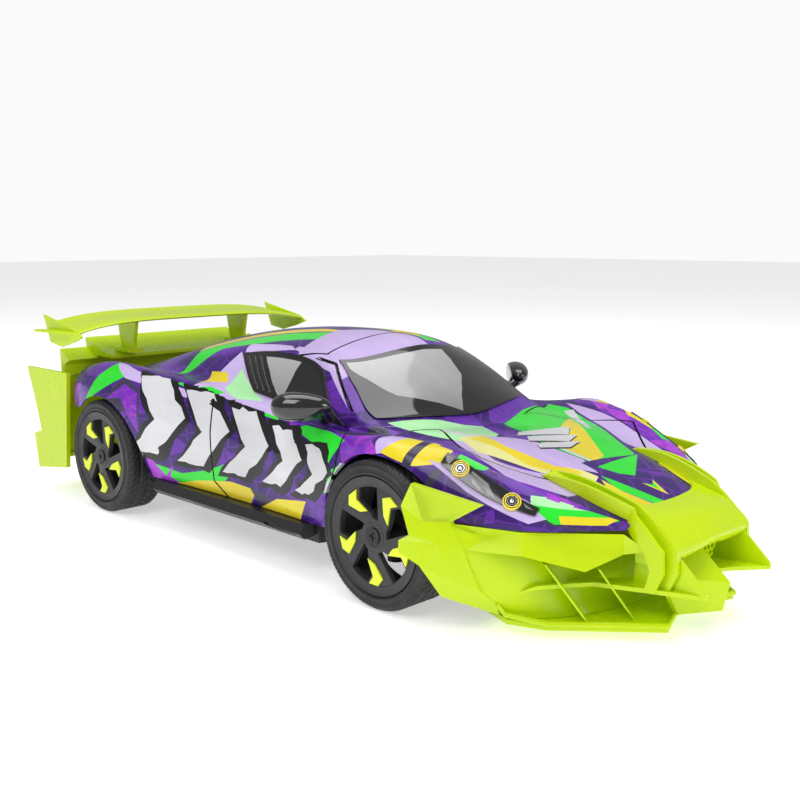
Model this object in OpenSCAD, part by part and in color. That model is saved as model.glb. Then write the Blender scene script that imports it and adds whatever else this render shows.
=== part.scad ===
// Toy-grade rear-drive drift car: chassis, drive train, steering, wheels,
// printed body shell and bolt-on aero kit.
// Frame: +X to the nose, +Y to the left side, +Z up. The origin is on the ground,
// under the centre of the car's outline.

/* [Wheels] */
// Outer diameter of the tyres
wheel_d = 68; // [64:0.5:70]
// Width of the tyres
tyre_w = 26; // [22:0.5:27]
// Distance between the outer faces of a left and a right wheel
wheel_face_w = 176; // [174:1:180]
// Distance between the two axles
wheelbase = 236; // [230:1:244]

/* [Body] */
// Distance from the front axle to the tip of the nose
front_overhang = 128; // [126:1:132]
// Distance from the rear axle to the ends of the tail fins
rear_overhang = 95; // [93:1:98]
// Thickness of the body shell
shell_t = 1.6; // [1.2:0.1:2]
// Gap between a tyre and the top of its wheel arch
arch_gap = 2.5; // [2:0.5:4]

/* [Chassis] */
// Height of the underside of the chassis above the ground
ride_h = 16; // [15:0.5:17]
// Thickness of the chassis floor
floor_t = 2.5; // [2:0.5:3]
// Diameter of the screw holes for a display stand
stand_hole_d = 3.4; // [3:0.1:4]

/* [Steering] */
// Distance from a kingpin to the pin of its steering arm
steer_arm = 12; // [11:0.5:13]
// Distance from the servo axis to the pin of the horn
horn_arm = 10; // [9:0.5:11]

/* [Gears] */
// Tooth module of all the gears
gear_m = 0.8; // [0.7:0.05:0.8]
// Teeth of the motor pinion
pinion_teeth = 12; // [12:1:14]
// Teeth of the large gear on the idler
idler_big_teeth = 36; // [34:1:38]
// Teeth of the small gear on the idler
idler_small_teeth = 14; // [14:1:16]
// Teeth of the gear on the rear axle
axle_teeth = 34; // [30:1:34]

/* [Hidden] */
$fn = 48;

lime = "#c8e81e";
black = "#18191b";
violet = "#6a35b8";
steel = "#b9bdc2";
running = 0.05;            // radial play of a part that turns on a pin
fitted = 0.1;              // gap between parts that are screwed or clipped together

// Places of the axles, worked out so that the outline is centred on the origin
mid_x = (rear_overhang - front_overhang) / 2;
front_x = mid_x + wheelbase / 2;
rear_x = mid_x - wheelbase / 2;
axle_z = wheel_d / 2;
tyre_r = wheel_d / 2;
face_y = wheel_face_w / 2;
wheel_y = face_y - tyre_w / 2;
inner_y = face_y - tyre_w;
floor_z = ride_h + floor_t;

// ---------------------------------------------------------------- shared shapes

// Mirror image in the car's middle plane, for right-hand parts
module right_hand() { mirror([0, 1, 0]) children(); }

// A left-hand part and its mirror image
module both_sides() {
    children();
    right_hand() children();
}

// Round bar from point a to point b
module bar(a, b, r) {
    d = b - a;
    translate(a)
        rotate([0, acos(d[2] / norm(d)), atan2(d[1], d[0])])
            cylinder(h = norm(d), r = r);
}

// Cylinder along +Y that starts at the given point
module y_cylinder(at, h, r) {
    translate(at) rotate([-90, 0, 0]) cylinder(h = h, r = r);
}

// Plate cut from an outline in the XZ plane, between two values of y
module xz_plate(outline, y0, y1) {
    translate([0, y1, 0]) rotate([90, 0, 0]) linear_extrude(y1 - y0) polygon(outline);
}

// Outline of a shape that is the same on both sides of the car, from its left half
function both_halves(half) =
    concat(half, [for (i = [len(half) - 1:-1:0]) if (half[i][1] != 0) [half[i][0], -half[i][1]]]);

// Closed sheet: triangles from the first point to the outline formed by the rest, given depth by push
function fan_area(q, i) = i >= len(q) ? [0, 0, 0] : cross(q[i - 1] - q[0], q[i] - q[0]) + fan_area(q, i + 1);
module fan_sheet(outline, push) {
    n = len(outline);
    points = fan_area(outline, 2) * push < 0 ? outline : [for (i = [0:n - 1]) outline[(n - i) % n]];
    bottom = [for (p = points) p + push];
    rim = [for (i = [1:n - 1]) [i, i % (n - 1) + 1]];
    polyhedron(
        points = concat(points, bottom),
        faces = concat(
            [for (e = rim) [0, e[1], e[0]]],
            [for (e = rim) [n, n + e[0], n + e[1]]],
            [for (e = rim) [e[0], e[1], n + e[1]]],
            [for (e = rim) [e[0], n + e[1], n + e[0]]]
        )
    );
}

// Closed sheet between two grids of points that have the same number of rows and columns
module grid_sheet(upper, lower) {
    rows = len(upper);
    cols = len(upper[0]);
    size = rows * cols;
    function at(i, j) = i * cols + j;
    edge = concat(
        [for (j = [0:cols - 2]) [at(0, j), at(0, j + 1)]],
        [for (i = [0:rows - 2]) [at(i, cols - 1), at(i + 1, cols - 1)]],
        [for (j = [cols - 1:-1:1]) [at(rows - 1, j), at(rows - 1, j - 1)]],
        [for (i = [rows - 1:-1:1]) [at(i, 0), at(i - 1, 0)]]
    );
    cells = [for (i = [0:rows - 2], j = [0:cols - 2])
        [at(i, j), at(i, j + 1), at(i + 1, j + 1), at(i + 1, j)]];
    halves = [for (c = cells) each [[c[0], c[1], c[2]], [c[0], c[2], c[3]]]];
    polyhedron(
        points = concat([for (r = upper) each r], [for (r = lower) each r]),
        faces = concat(
            halves,
            [for (h = halves) [h[0] + size, h[2] + size, h[1] + size]],
            [for (e = edge) each [[e[1], e[0], e[0] + size], [e[1], e[0] + size, e[1] + size]]]
        )
    );
}

// ---------------------------------------------------------------- body surface

// Feature lines of the left half of the body: [x from the middle of the wheelbase, y, z].
// The sill and the door line run at fixed heights, so they hold [x, y].
sill_h = 27;
door_h = 45;
nose_edge_h = 47;
tail_edge_h = 60;
sill_line = [[-178, 64], [-156, 76], [-119, 80], [-75, 77], [0, 74], [82, 77], [119, 80], [156, 77],
    [190, 66], [216, 38]];
door_line = [[-178, 68], [-156, 80], [-119, 86], [-75, 83], [-27, 77], [20, 75], [82, 81], [119, 86],
    [156, 80], [190, 67], [216, 39]];
shoulder_line = [[-178, 69, 66], [-156, 81, 73], [-119, 85, 77], [-75, 83, 72], [-27, 77, 62], [20, 75, 57],
    [82, 79, 62], [119, 84, 74], [156, 78, 60], [190, 66, 52], [216, 38, 48]];
crest_line = [[-178, 64, 77], [-156, 71, 84], [-119, 74, 90], [-75, 75, 87], [-27, 72, 82], [20, 70, 76],
    [82, 72, 73], [119, 72, 77], [146, 69, 75], [170, 63, 67], [190, 55, 59], [216, 35, 48.8]];
valley_line = [[-178, 48, 72], [-156, 52, 78], [-119, 54, 84], [-75, 57, 86], [-27, 62, 86],
    [20, 64, 81], [54, 65, 77], [88, 62, 73], [119, 53, 72], [146, 48, 70], [170, 43, 64],
    [190, 38, 58.5], [216, 30, 49.8]];
rail_line = [[-178, 26, 74], [-156, 29, 80], [-119, 34, 89], [-75, 43, 98], [-27, 48, 104],
    [14, 49, 106], [46, 46, 103], [68, 53, 91], [88, 57, 78], [119, 34, 73], [146, 28, 72], [170, 25, 66],
    [190, 24, 60.5], [216, 22, 51]];
spine_line = [[-178, 0, 75], [-156, 0, 81], [-119, 0, 93], [-75, 0, 105], [-27, 0, 112], [14, 0, 114],
    [41, 0, 113], [61, 0, 109.5], [85, 0, 91], [105, 0, 73], [119, 0, 71.5], [146, 0, 72], [170, 0, 67],
    [190, 0, 61], [216, 0, 51]];
lines = [shoulder_line, crest_line, valley_line, rail_line, spine_line];
crease = [0.8, 0.8, 0.7, 0.7, 1];     // how softly the section turns at each line
tail_x = spine_line[0][0];
nose_x = spine_line[len(spine_line) - 1][0];

// Smooth value of a line at x: a cubic between the two rows beside x
function row_before(t, x) = max([0, for (i = [1:len(t) - 2]) if (x >= t[i][0]) i]);
function slope(t, k) = let (a = t[max(k - 1, 0)], b = t[min(k + 1, len(t) - 1)]) (b - a) / (b[0] - a[0]);
function cubic(p0, p1, m0, m1, s) =
    (2 * s ^ 3 - 3 * s ^ 2 + 1) * p0 + (s ^ 3 - 2 * s ^ 2 + s) * m0
    + (3 * s ^ 2 - 2 * s ^ 3) * p1 + (s ^ 3 - s ^ 2) * m1;
function on_line(t, x) =
    let (i = row_before(t, x), h = t[i + 1][0] - t[i][0])
    cubic(t[i], t[i + 1], slope(t, i) * h, slope(t, i + 1) * h, (x - t[i][0]) / h);

// Height of the lower edge of the shell: sill, wheel arches, nose and tail
arch_half_w = 40;
arch_rise = tyre_r + arch_gap;
function arch_h(d) = abs(d) >= arch_half_w ? 0 : axle_z + arch_rise * sqrt(1 - (d / arch_half_w) ^ 2);
function edge_h(x) = max(
    x > wheelbase / 2 ? nose_edge_h : x < -wheelbase / 2 ? tail_edge_h : sill_h,
    arch_h(x - wheelbase / 2), arch_h(x + wheelbase / 2));

// Half-width of the side of the body at height h: a parabola through sill, door line and shoulder
function side_y(x, h) =
    let (s = on_line(shoulder_line, x), y0 = on_line(sill_line, x)[1], y1 = on_line(door_line, x)[1],
        top = max(s[2], door_h + 6), u = (h - sill_h), a = door_h - sill_h, b = top - sill_h)
    y0 + u * ((y1 - y0) / a * (b - u) + (s[1] - y0) / b * (u - a)) / (b - a);

// Point of the left half of the surface: v = 0 at the lower edge, 1 at the shoulder, 5 at the spine
function skin(x, v) =
    v <= 1
        ? let (e = edge_h(x), h = e + v * (on_line(shoulder_line, x)[2] - e)) [x, side_y(x, h), h]
        : let (k = min(floor(v), 4) - 1, s = v - 1 - k,
            p = [for (t = lines) on_line(t, x)],
            low = [x, side_y(x, door_h), door_h],
            before = k == 0 ? low : p[k - 1],
            after = k == 3 ? [x, -p[3][1], p[3][2]] : p[k + 2],
            m0 = crease[k] * (p[k + 1] - before) / 2,
            m1 = crease[k + 1] * (after - p[k]) / 2)
            cubic(p[k], p[k + 1], m0, m1, s);

// Unit normal of the surface, pointing out of the car
function normal(x, v) =
    let (d = 0.05, a = skin(min(x + 1, nose_x), v) - skin(max(x - 1, tail_x), v),
        b = skin(x, min(v + d, 5)) - skin(x, max(v - d, 0)), n = cross(b, a))
    n / max(norm(n), 0.001);
function skin_offset(x, v, d) = skin(x, v) + normal(x, v) * d;

// Point of the whole surface: w runs from -5 (right lower edge) through 0 (spine) to 5
function whole(x, w, d) =
    let (p = skin_offset(x, 5 - abs(w), d))
    [p[0] + mid_x, w == 0 ? 0 : w < 0 ? -p[1] : p[1], p[2]];

// Patch of the surface between heights d0 and d1 above it. rows holds lists of [x, w].
module skin_patch(rows, d0, d1) {
    grid_sheet(
        [for (r = rows) [for (q = r) whole(q[0], q[1], d1)]],
        [for (r = rows) [for (q = r) whole(q[0], q[1], d0)]]
    );
}

// Stations along the body, closer together over the wheels
function arch_stations(axle) = [for (a = [180:-15:0]) axle + arch_half_w * 0.999 * cos(a)];
stations = concat(
    [tail_x, -168],
    arch_stations(-wheelbase / 2),
    [-77, -66, -55, -44, -33, -22, -11, 0, 10, 20, 29, 38, 44, 50, 56, 62, 69],
    arch_stations(wheelbase / 2),
    [160, 172, 184, 196, 206, nose_x]
);
section_steps = [for (w = [-5:0.25:5]) w];

module body_shell() {
    color(violet)
        skin_patch([for (x = stations) [for (w = section_steps) [x, w]]], -shell_t, 0);
}

pane_t = 0.8;              // thickness of windows and lamps
pane_gap = 0.6;            // glue gap under them

// A window or lamp: corners in order rear low, front low, rear high, front high, as [x, w]
module corner_patch(c, nx, nw, t) {
    skin_patch(
        [for (i = [0:nx]) [for (j = [0:nw])
            let (u = i / nx, s = j / nw)
            (c[0] * (1 - u) + c[1] * u) * s + (c[2] * (1 - u) + c[3] * u) * (1 - s)]],
        pane_gap, pane_gap + t);
}

module windscreen() {
    color(black)
        skin_patch([for (i = [0:8]) [for (w = [-1:0.2:1])
            [(64 - 14 * w ^ 2) * (1 - i / 8) + (101 - 13 * w ^ 2) * i / 8, w * 0.93]]],
            pane_gap, pane_gap + pane_t);
}

module side_window() {
    color(black) corner_patch([[6, 1.95], [84, 1.95], [-4, 1.12], [48, 1.12]], 8, 4, pane_t);
}

module headlight() {
    color(black) corner_patch([[144, 3.35], [196, 3.25], [144, 3.0], [196, 2.9]], 8, 3, pane_t);
}

mirror_at = [mid_x + 64, 81.5, 85];
mirror_half = [14.5, 7.2, 6.9];
mirror_sweep = 42;         // the outer end is swept back
mirror_foot = [mid_x + 62, 67.5, 78.6];
module mirror_pod() {
    color(black) {
        translate(mirror_at) rotate([0, 0, -mirror_sweep]) scale(mirror_half / 10) sphere(r = 10);
        bar(mirror_at + [4, -4, -1], mirror_foot, 2.2);
    }
}

// ---------------------------------------------------------------- front aero kit

// The cheeks are bowed out past the sweep of a steered front wheel.
function from_front(p) = p + [front_x, 0, 0];

module cheek() {
    outline = [[44, 91, 40], [24.5, 88, 62.5], [62, 87, 59.5], [43, 84, 48.5], [50, 83, 37], [55, 79, 21],
        [57, 70, 13.5], [55, 66, 7], [40, 86, 16.5], [36, 95, 31], [28, 99, 36], [28, 99, 41],
        [30.5, 95.5, 43], [25.5, 95, 54.5]];
    fan_sheet([for (p = outline) from_front(p)], [-0.4, -2.6, 0]);
}

module cheek_brace() {
    box = [[42.1, 43], [60, 80], [60, 83], [42.1, 84]];
    translate([front_x, 0, 38]) linear_extrude(3) polygon(box);
    translate([front_x, 0, 10]) linear_extrude(3) polygon([[43, 43], [58, 60], [56, 68], [43, 66]]);
}

module brow() {
    outline = [[80, 63, 42], [41.6, 82.9, 47.6], [68, 69.5, 46.4], [98, 40, 45.6], [105, 32, 38],
        [97, 38, 36.5], [90, 55, 31.5], [72, 73, 38], [48.6, 82.2, 37.6]];
    fan_sheet([for (p = outline) from_front(p)], [-4, -2.4, -1]);
}

// Upright plate from each corner of the lip down to the tip of the mid blade
module tip_plate() {
    outline = [[110, 41], [115, 40.5], [front_overhang - 1.5, 25], [front_overhang - 1.5, 22], [104, 22]];
    xz_plate([for (p = outline) [front_x + p[0], p[1]]], 27, 28.6);
}

module keel() {
    outline = [[108.5, 38], [112, 36], [front_overhang - 6, 22], [front_overhang - 10, 12], [112, 7.4],
        [108.5, 7.4]];
    xz_plate([for (p = outline) [front_x + p[0], p[1]]], -1.2, 1.2);
}

// Blade that runs forward over the hood, from one strip of the skin to another, and down the nose
module hood_rib(y, w_rear, w_nose, back) {
    front = [[93, 53.6], [93, 57], [99, 56], [109, 48], [117, 40], [117.3, 31], [113.5, 22], [109, 22],
        [111, 31], [108, 39], [98.6, 44], [98.6, 52]];
    xz_plate([for (p = front) [front_x + p[0] - (p[0] > 98.6 ? back : 0), p[1]]], y, y + 2);
    rows = [for (i = [0:6]) [178 + 6 * i, w_rear + (w_nose - w_rear) * i / 6]];
    skin_patch([for (r = rows) [for (s = [1, 0]) [r[0], r[1] - 0.12 * s]]], 2 * fitted, 4.4);
}

module nose_lip() {
    lip = [[106, 0, 47], [101, 28, 52], [101, 0, 52.5], [101, -28, 52], [109, -31, 46], [116.6, -31, 40],
        [116, -20, 38.5], [117.5, 0, 39.5], [116, 20, 38.5], [116.6, 31, 40], [109, 31, 46]];
    fan_sheet([for (p = lip) from_front(p)], [-2.4, 0, -1.6]);
}

module back_wall() {
    wall = [[-68, 9], [68, 9], [84, 20], [84, 41], [60, 46], [-60, 46], [-84, 41], [-84, 20]];
    translate([front_x + 42.1, 0, 0]) rotate([90, 0, 90]) linear_extrude(2.5) polygon(wall);
}

module cross_beam() {
    translate([front_x + 42.1, 0, 39]) linear_extrude(2.5)
        polygon([[0, -60], [30, -48], [59, -28], [59, 28], [30, 48], [0, 60]]);
}

module mid_blade() {
    half = [[42.1, 60], [60, 66], [76, 57], [86, 42], [front_overhang, 28], [114, 9],
        [front_overhang - 4, 0]];
    translate([front_x, 0, 21]) linear_extrude(2) polygon(both_halves(half));
}

module front_bumper() {
    color(lime) {
        both_sides() {
            cheek();
            cheek_brace();
            brow();
            hood_rib(29, -1.45, -1.75, 0);
            hood_rib(33.5, -1.8, -2.5, 4);
            tip_plate();
        }
        nose_lip();
        back_wall();
        cross_beam();
        mid_blade();
        translate([front_x + 98, -31, 32]) cube([6, 62, 9]);
    }
}

module strake(top_y, foot_y, x) {
    outline = [[x - 8, (top_y + foot_y) / 2, 13], [x - 24, top_y + 2, 19.5], [x - 2, top_y, 19.5],
        [x + 4, foot_y, 6], [x - 24, foot_y + 4, 6]];
    fan_sheet([for (p = outline) from_front(p)], [0, 1.4, 0]);
}

module front_splitter() {
    half = [[46, 62], [60, 67], [76, 61], [113, 28], [102, 0]];
    color(lime) {
        difference() {
            translate([front_x, 0, 4.5]) linear_extrude(2.4) polygon(both_halves(half));
            both_sides() translate([front_x + 51, 30, 0]) cylinder(h = 20, d = 3);
        }
        both_sides() {
            strake(58, 46, 84);
            strake(42, 28, 92);
        }
    }
}

module grille_mesh() {
    pitch = 3.2;
    web = 0.7;
    color(black) translate([front_x + 106.5, 0, 26]) rotate([90, 0, 90]) linear_extrude(1.2) difference() {
        polygon([[-19, 5], [-15, -2.8], [15, -2.8], [19, 5], [19, 9.5], [-19, 9.5]]);
        for (i = [-5:5], j = [0:3])
            translate([(i + (j % 2) / 2) * pitch, j * pitch * 0.866 - 0.6])
                circle(d = pitch - web, $fn = 6);
    }
}

// ---------------------------------------------------------------- rear aero kit

function from_rear(p) = [p[0] + rear_x, p[1]];

module tail_fin() {
    outline = [[-rear_overhang, 80], [-42, 80], [-44, 60], [-48, 19], [-86, 13.6], [-90, 36],
        [-80, 39], [-85, 55]];
    xz_plate([for (p = outline) from_rear(p)], 82, 84.6);
}

module diffuser_fin(y) {
    outline = [[-50, 18.5], [-62, 26], [-62, 40], [-84, 36], [-80, 14], [-52, 14]];
    xz_plate([for (p = outline) from_rear(p)], y - 1, y + 1);
}

module rear_bumper() {
    panel = [[-83, 24], [83, 24], [83, 74], [66, 76.5], [-66, 76.5], [-83, 74]];
    color(lime) {
        difference() {
            translate([rear_x - 65, 0, 0]) rotate([90, 0, 90]) linear_extrude(3) polygon(panel);
            translate([rear_x - 70, -46, 48]) cube([12, 92, 14]);
        }
        both_sides() {
            tail_fin();
            for (y = [14, 36, 58]) diffuser_fin(y);
        }
        translate([rear_x - 82, -83, 23]) cube([22, 166, 2.4]);
        translate([rear_x - 65.5, -60, 54]) cube([3, 120, 2]);
    }
}

module ducktail() {
    profile = [[-65, 76.6], [-62, 76.6], [-62, 88], [-36, 87.5], [-36, 89.5], [-52, 92], [-68, 99],
        [-69.5, 98]];
    shoulder = [[-65, 76.6], [-60.5, 76.6], [-60.5, 83], [-54, 86.5], [-66, 93]];
    color(lime) {
        xz_plate([for (p = profile) from_rear(p)], -56, 56);
        both_sides() xz_plate([for (p = shoulder) from_rear(p)], 55, 76);
    }
}

wing_half_w = 87;
wing_stay_y = 43;
function wing_z(y) = 112.5 - 6 * (y / wing_half_w) ^ 4;
wing_rows = [[0, 0], [3, 1.3], [14, 2.1], [28, 2.6], [38, 4.3], [38, 3.4], [28, 0.5], [14, -0.7], [3, -1]];
function wing_section(y) = [for (q = wing_rows) [rear_x - 18 - q[0], y, wing_z(y) + q[1]]];

module wing_end_plate() {
    blade = [[-14, 104.5], [-22, 108.5], [-62, 116], [-58, 108], [-54, 99], [-40, 97], [-24, 101]];
    xz_plate([for (p = blade) from_rear(p)], wing_half_w - 0.6, wing_half_w + 1);
    translate([rear_x, 0, 106]) linear_extrude(1.4)
        polygon([[-18, wing_half_w - 2], [-30, wing_half_w + 7], [-58, wing_half_w + 9.5],
            [-54, wing_half_w - 2]]);
}

module rear_wing() {
    spans = [for (y = [-wing_half_w:wing_half_w / 6:wing_half_w]) wing_section(y)];
    n = len(spans[0]);
    m = len(spans);
    color(lime) {
        polyhedron(
            points = [for (s = spans) each s],
            faces = concat(
                [[for (j = [n - 1:-1:0]) j], [for (j = [0:n - 1]) (m - 1) * n + j]],
                [for (i = [0:m - 2], j = [0:n - 1]) let (k = (j + 1) % n) each
                    [[i * n + j, (i + 1) * n + k, (i + 1) * n + j], [i * n + j, i * n + k, (i + 1) * n + k]]]
            )
        );
        both_sides() wing_end_plate();
    }
}

module wing_stays() {
    foot = [[-30, 93], [-44, 93], [-48, 111], [-26, 111]];
    color(lime) both_sides() {
        xz_plate([for (p = foot) from_rear(p)], wing_stay_y - 1.2, wing_stay_y + 1.2);
        translate([rear_x - 46, wing_stay_y - 5, 91.2]) cube([18, 10, 2.4]);
    }
}

// ---------------------------------------------------------------- chassis

tub_half = [[-160, 50], [-76, 50], [-70, 71.5], [64, 71.5], [74, 42], [159.5, 42]];
post_places = [[-62, 58], [128, 24]];
stand_x = 60;
stand_mid = 50;
stand_y = 40;
switch_at = [mid_x + 30, 55];
battery_size = [70, 38, 22];
battery_at = [mid_x - 30, 0];
door_t = 2;
door_tab_w = 12;
door_screw_x = battery_at[0] + battery_size[0] / 2 + 8;

module tub_outline() {
    translate([mid_x, 0]) polygon(both_halves(tub_half));
}

module side_place(list) { for (p = list, s = [-1, 1]) translate([mid_x + p[0], s * p[1], 0]) children(); }
module stand_places() {
    for (x = [-1, 1], y = [-1, 1])
        translate([mid_x + stand_mid + x * stand_x / 2, y * stand_y / 2, 0]) children();
}

// Arms that hold a kingpin at the top and at the bottom
king_y = 72;
arm_gap = 22;              // clear height between the two arms
arm_t = 3;
module front_arm(z) {
    translate([0, 0, z]) linear_extrude(arm_t) difference() {
        union() {
            translate([front_x, king_y]) circle(d = 8);
            polygon([[front_x - 9, 38], [front_x + 9, 38], [front_x + 4, king_y], [front_x - 4, king_y]]);
        }
        translate([front_x, king_y]) circle(d = 3);
    }
}

module front_arms() {
    both_sides() {
        front_arm(axle_z - arm_gap / 2 - arm_t);
        front_arm(axle_z + arm_gap / 2);
        translate([front_x - 9, 38, ride_h + 1]) cube([18, 3.5, axle_z + arm_gap / 2 + arm_t - ride_h - 1]);
    }
}

module chassis_tub() {
    color(black) difference() {
        union() {
            translate([0, 0, ride_h]) linear_extrude(floor_t) tub_outline();
            translate([0, 0, ride_h]) linear_extrude(14) difference() {
                tub_outline();
                offset(delta = -2.2) tub_outline();
            }
            front_arms();
            side_place(post_places) translate([0, 0, ride_h]) cylinder(h = 12, d = 10);
            stand_places() translate([0, 0, ride_h]) cylinder(h = 5, d = 8);
            translate([door_screw_x, 0, ride_h + door_t + fitted]) cylinder(h = 5, d = 7);
        }
        side_place(post_places) translate([0, 0, ride_h - 1]) {
            cylinder(h = 20, d = 3.2);
            cylinder(h = 5, d = 6.4);
        }
        stand_places() translate([0, 0, ride_h - 1]) cylinder(h = 20, d = stand_hole_d);
        translate([battery_at[0] - battery_size[0] / 2 - 2, -battery_size[1] / 2 - 2, ride_h - 1])
            cube([battery_size[0] + 4, battery_size[1] + 4, 5]);
        translate([battery_at[0], -door_tab_w / 2 - fitted, ride_h - 1])
            cube([door_screw_x + 5 + fitted - battery_at[0], door_tab_w + 2 * fitted, door_t + 1 + fitted]);
        translate([door_screw_x, 0, ride_h - 1]) cylinder(h = 12, d = 2.4);
        translate([rod_x - 8, -60, rod_z - 1]) cube([10.8, 120, 20]);
        translate([switch_at[0] - 6.2, switch_at[1] - 3.2, ride_h - 1]) cube([12.4, 6.4, 5]);
        translate([rear_x - 20, inner_y - 20, ride_h + 6]) cube([40, 20, 30]);
        mirror([0, 1, 0]) translate([rear_x - 20, inner_y - 20, ride_h + 6]) cube([40, 20, 30]);
    }
}

module side_skirt() {
    section = [[71.6, 20], [79, 19], [82, 22], [79.5, 26.6], [71.6, 26.6]];
    color(black) difference() {
        translate([mid_x - 69, 0, 0]) rotate([90, 0, 90]) linear_extrude(131) polygon(section);
        translate([mid_x + 34, 80.4, 21.5]) rotate([0, 4, 0]) cube([24, 3, 1.6]);
    }
}

module body_posts() {
    color(black) for (p = [[post_places[0], 83], [post_places[1], 68]])
        side_place([p[0]]) translate([0, 0, ride_h + 12 + fitted]) difference() {
            cylinder(h = p[1] - ride_h - 12, d = 7);
            translate([0, 0, -1]) cylinder(h = 9, d = 2.4);
        }
}

module body_screws() {
    color(steel) side_place(post_places) translate([0, 0, ride_h + 1.8]) {
        difference() {
            cylinder(h = 2.2 - fitted, d = 5.6);
            translate([0, 0, -0.1]) linear_extrude(1.2) cross_slot(3, 0.8);
        }
        cylinder(h = 16, d = 2.3);
    }
}

module cross_slot(l, w) {
    square([l, w], center = true);
    square([w, l], center = true);
}

// ---------------------------------------------------------------- battery and electronics

module battery_pack() {
    cell_d = battery_size[1] / 2 - 0.6;
    color("#2f6fd0") translate([battery_at[0] - battery_size[0] / 2, 0, ride_h + 3.2 + cell_d / 2]) {
        for (s = [-1, 1]) translate([0, s * (cell_d / 2 - 0.3), 0]) rotate([0, 90, 0])
            cylinder(h = battery_size[0], d = cell_d);
        translate([1, -cell_d / 2, -cell_d / 2]) cube([battery_size[0] - 2, cell_d, cell_d]);
    }
}

module battery_door() {
    w = battery_size + [4, 4, 0] - [2, 2, 0] * fitted;
    color(black) difference() {
        union() {
            translate([battery_at[0] - w[0] / 2, -w[1] / 2, ride_h]) cube([w[0], w[1], door_t]);
            translate([battery_at[0], -door_tab_w / 2, ride_h])
                cube([door_screw_x + 5 - battery_at[0], door_tab_w, door_t]);
        }
        translate([door_screw_x, 0, ride_h - 3]) {
            cylinder(h = 8, d = 2.6);
            cylinder(h = 4, d = 5);
        }
        for (i = [-3:3]) translate([battery_at[0] - 20 + i * 3, -10, ride_h - 0.1]) cube([1.2, 20, 0.7]);
    }
}

module battery_door_screw() {
    color(steel) translate([door_screw_x, 0, ride_h + 0.1]) difference() {
        union() {
            cylinder(h = 0.8, d = 4.6);
            cylinder(h = 6, d = 2.3);
        }
        translate([0, 0, -0.1]) linear_extrude(0.6) cross_slot(2.6, 0.7);
    }
}

board_at = [mid_x + 14, -66, floor_z + 3];
module receiver_board() {
    color("#1c6b3a") {
        translate(board_at) cube([46, 30, 1.6]);
        translate(board_at + [6, 8, 1.5]) cube([9, 9, 1.4]);
        translate(board_at + [22, 18, 1.5]) cube([10, 6, 5]);
        translate(board_at + [34, 6, 1.5]) cylinder(h = 9, d = 6.3);
        translate(board_at + [2, 20, 1.5]) cube([6, 8, 6]);
        for (x = [4, 42], y = [4, 26]) translate([board_at[0] + x, board_at[1] + y, floor_z])
            cylinder(h = 3.5, d = 3);
    }
}

module antenna_wire() {
    start = board_at + [44, 28, 3];
    color("#303236") {
        bar(start, start + [16, 36, 3], 0.6);
        translate(start + [16, 36, 3]) sphere(r = 0.85);
        bar(start + [16, 36, 3], start + [-44, 58, 3], 0.6);
    }
}

module motor_wires() {
    color("#c02a2a") for (s = [0, 1])
        bar([motor_x + 6, -motor_l - 8.6, axle_z - 3 + 6 * s], board_at + [-0.6, 12 + 5 * s, 3.4], 0.7);
}

module power_switch_case() {
    color(black) translate([switch_at[0], switch_at[1], ride_h]) difference() {
        translate([-6, -3, 0.3]) cube([12, 6, 7]);
        translate([-3.6, -1.7, -1]) cube([7.2, 3.4, 4]);
    }
}

module power_switch_slider() {
    color("#d8d8d8") translate([switch_at[0] - 3, switch_at[1] - 1.3, ride_h + 0.4])
        cube([3.2, 2.6, 2.4]);
}

// ---------------------------------------------------------------- steering

knuckle_h = arm_gap - 0.6;
rod_x = front_x - steer_arm;
rod_z = axle_z - 9;
rod_t = 2.4;
lever_z = rod_z + rod_t + 0.5;
slot_w = 2.6;
slot_l = 5;
pin_d = 2;
horn_x = rod_x - horn_arm;
servo_size = [24, 13, 17];
stub_end_y = face_y - 3.4;
stub_start_y = king_y + 2.5;

module knuckle() {
    color(black) difference() {
        union() {
            translate([front_x, king_y, axle_z - knuckle_h / 2]) cylinder(h = knuckle_h, d = 7.6);
            y_cylinder([front_x, king_y, axle_z], 7.5, 4.5);
            translate([rod_x, king_y, lever_z]) cylinder(h = 2.6, d = 5);
            translate([rod_x, king_y - 2.5, lever_z]) cube([steer_arm, 5, 2.6]);
            translate([rod_x, king_y, rod_z - 0.6]) cylinder(h = 4.5, d = pin_d);
        }
        translate([front_x, king_y, 0]) cylinder(h = 90, r = 1.5 + running);
        y_cylinder([front_x, stub_start_y - 0.1, axle_z], 10, 2);
    }
}

module kingpins() {
    color(steel) both_sides() translate([front_x, king_y, axle_z - arm_gap / 2 - arm_t])
        cylinder(h = arm_gap + 2 * arm_t, r = 1.5 - 0.01);
}

module stub_axle() {
    color(steel) difference() {
        y_cylinder([front_x, stub_start_y, axle_z], stub_end_y - stub_start_y, 2 - 0.01);
        y_cylinder([front_x, stub_end_y - 7, axle_z], 8, 1.2);
    }
}

module tie_rod() {
    half = [[-2.2, 5], [-3, 3.5], [-2.2, king_y - 6], [-3.8, king_y - 4], [-3.8, king_y + 3.4],
        [3.6, king_y + 3.4], [3.6, king_y - 4], [2.2, king_y - 6], [2.2, 6], [5, 4]];
    color(black) translate([0, 0, rod_z]) linear_extrude(rod_t) difference() {
        for (s = [-1, 1]) {
            polygon([for (p = concat([[-3, -1]], half, [[5, -1]])) [rod_x + p[0], s * p[1]]]);
        }
        for (y = [-1, 0, 1]) translate([rod_x, y * king_y]) square([slot_l, slot_w], center = true);
    }
}

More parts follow.
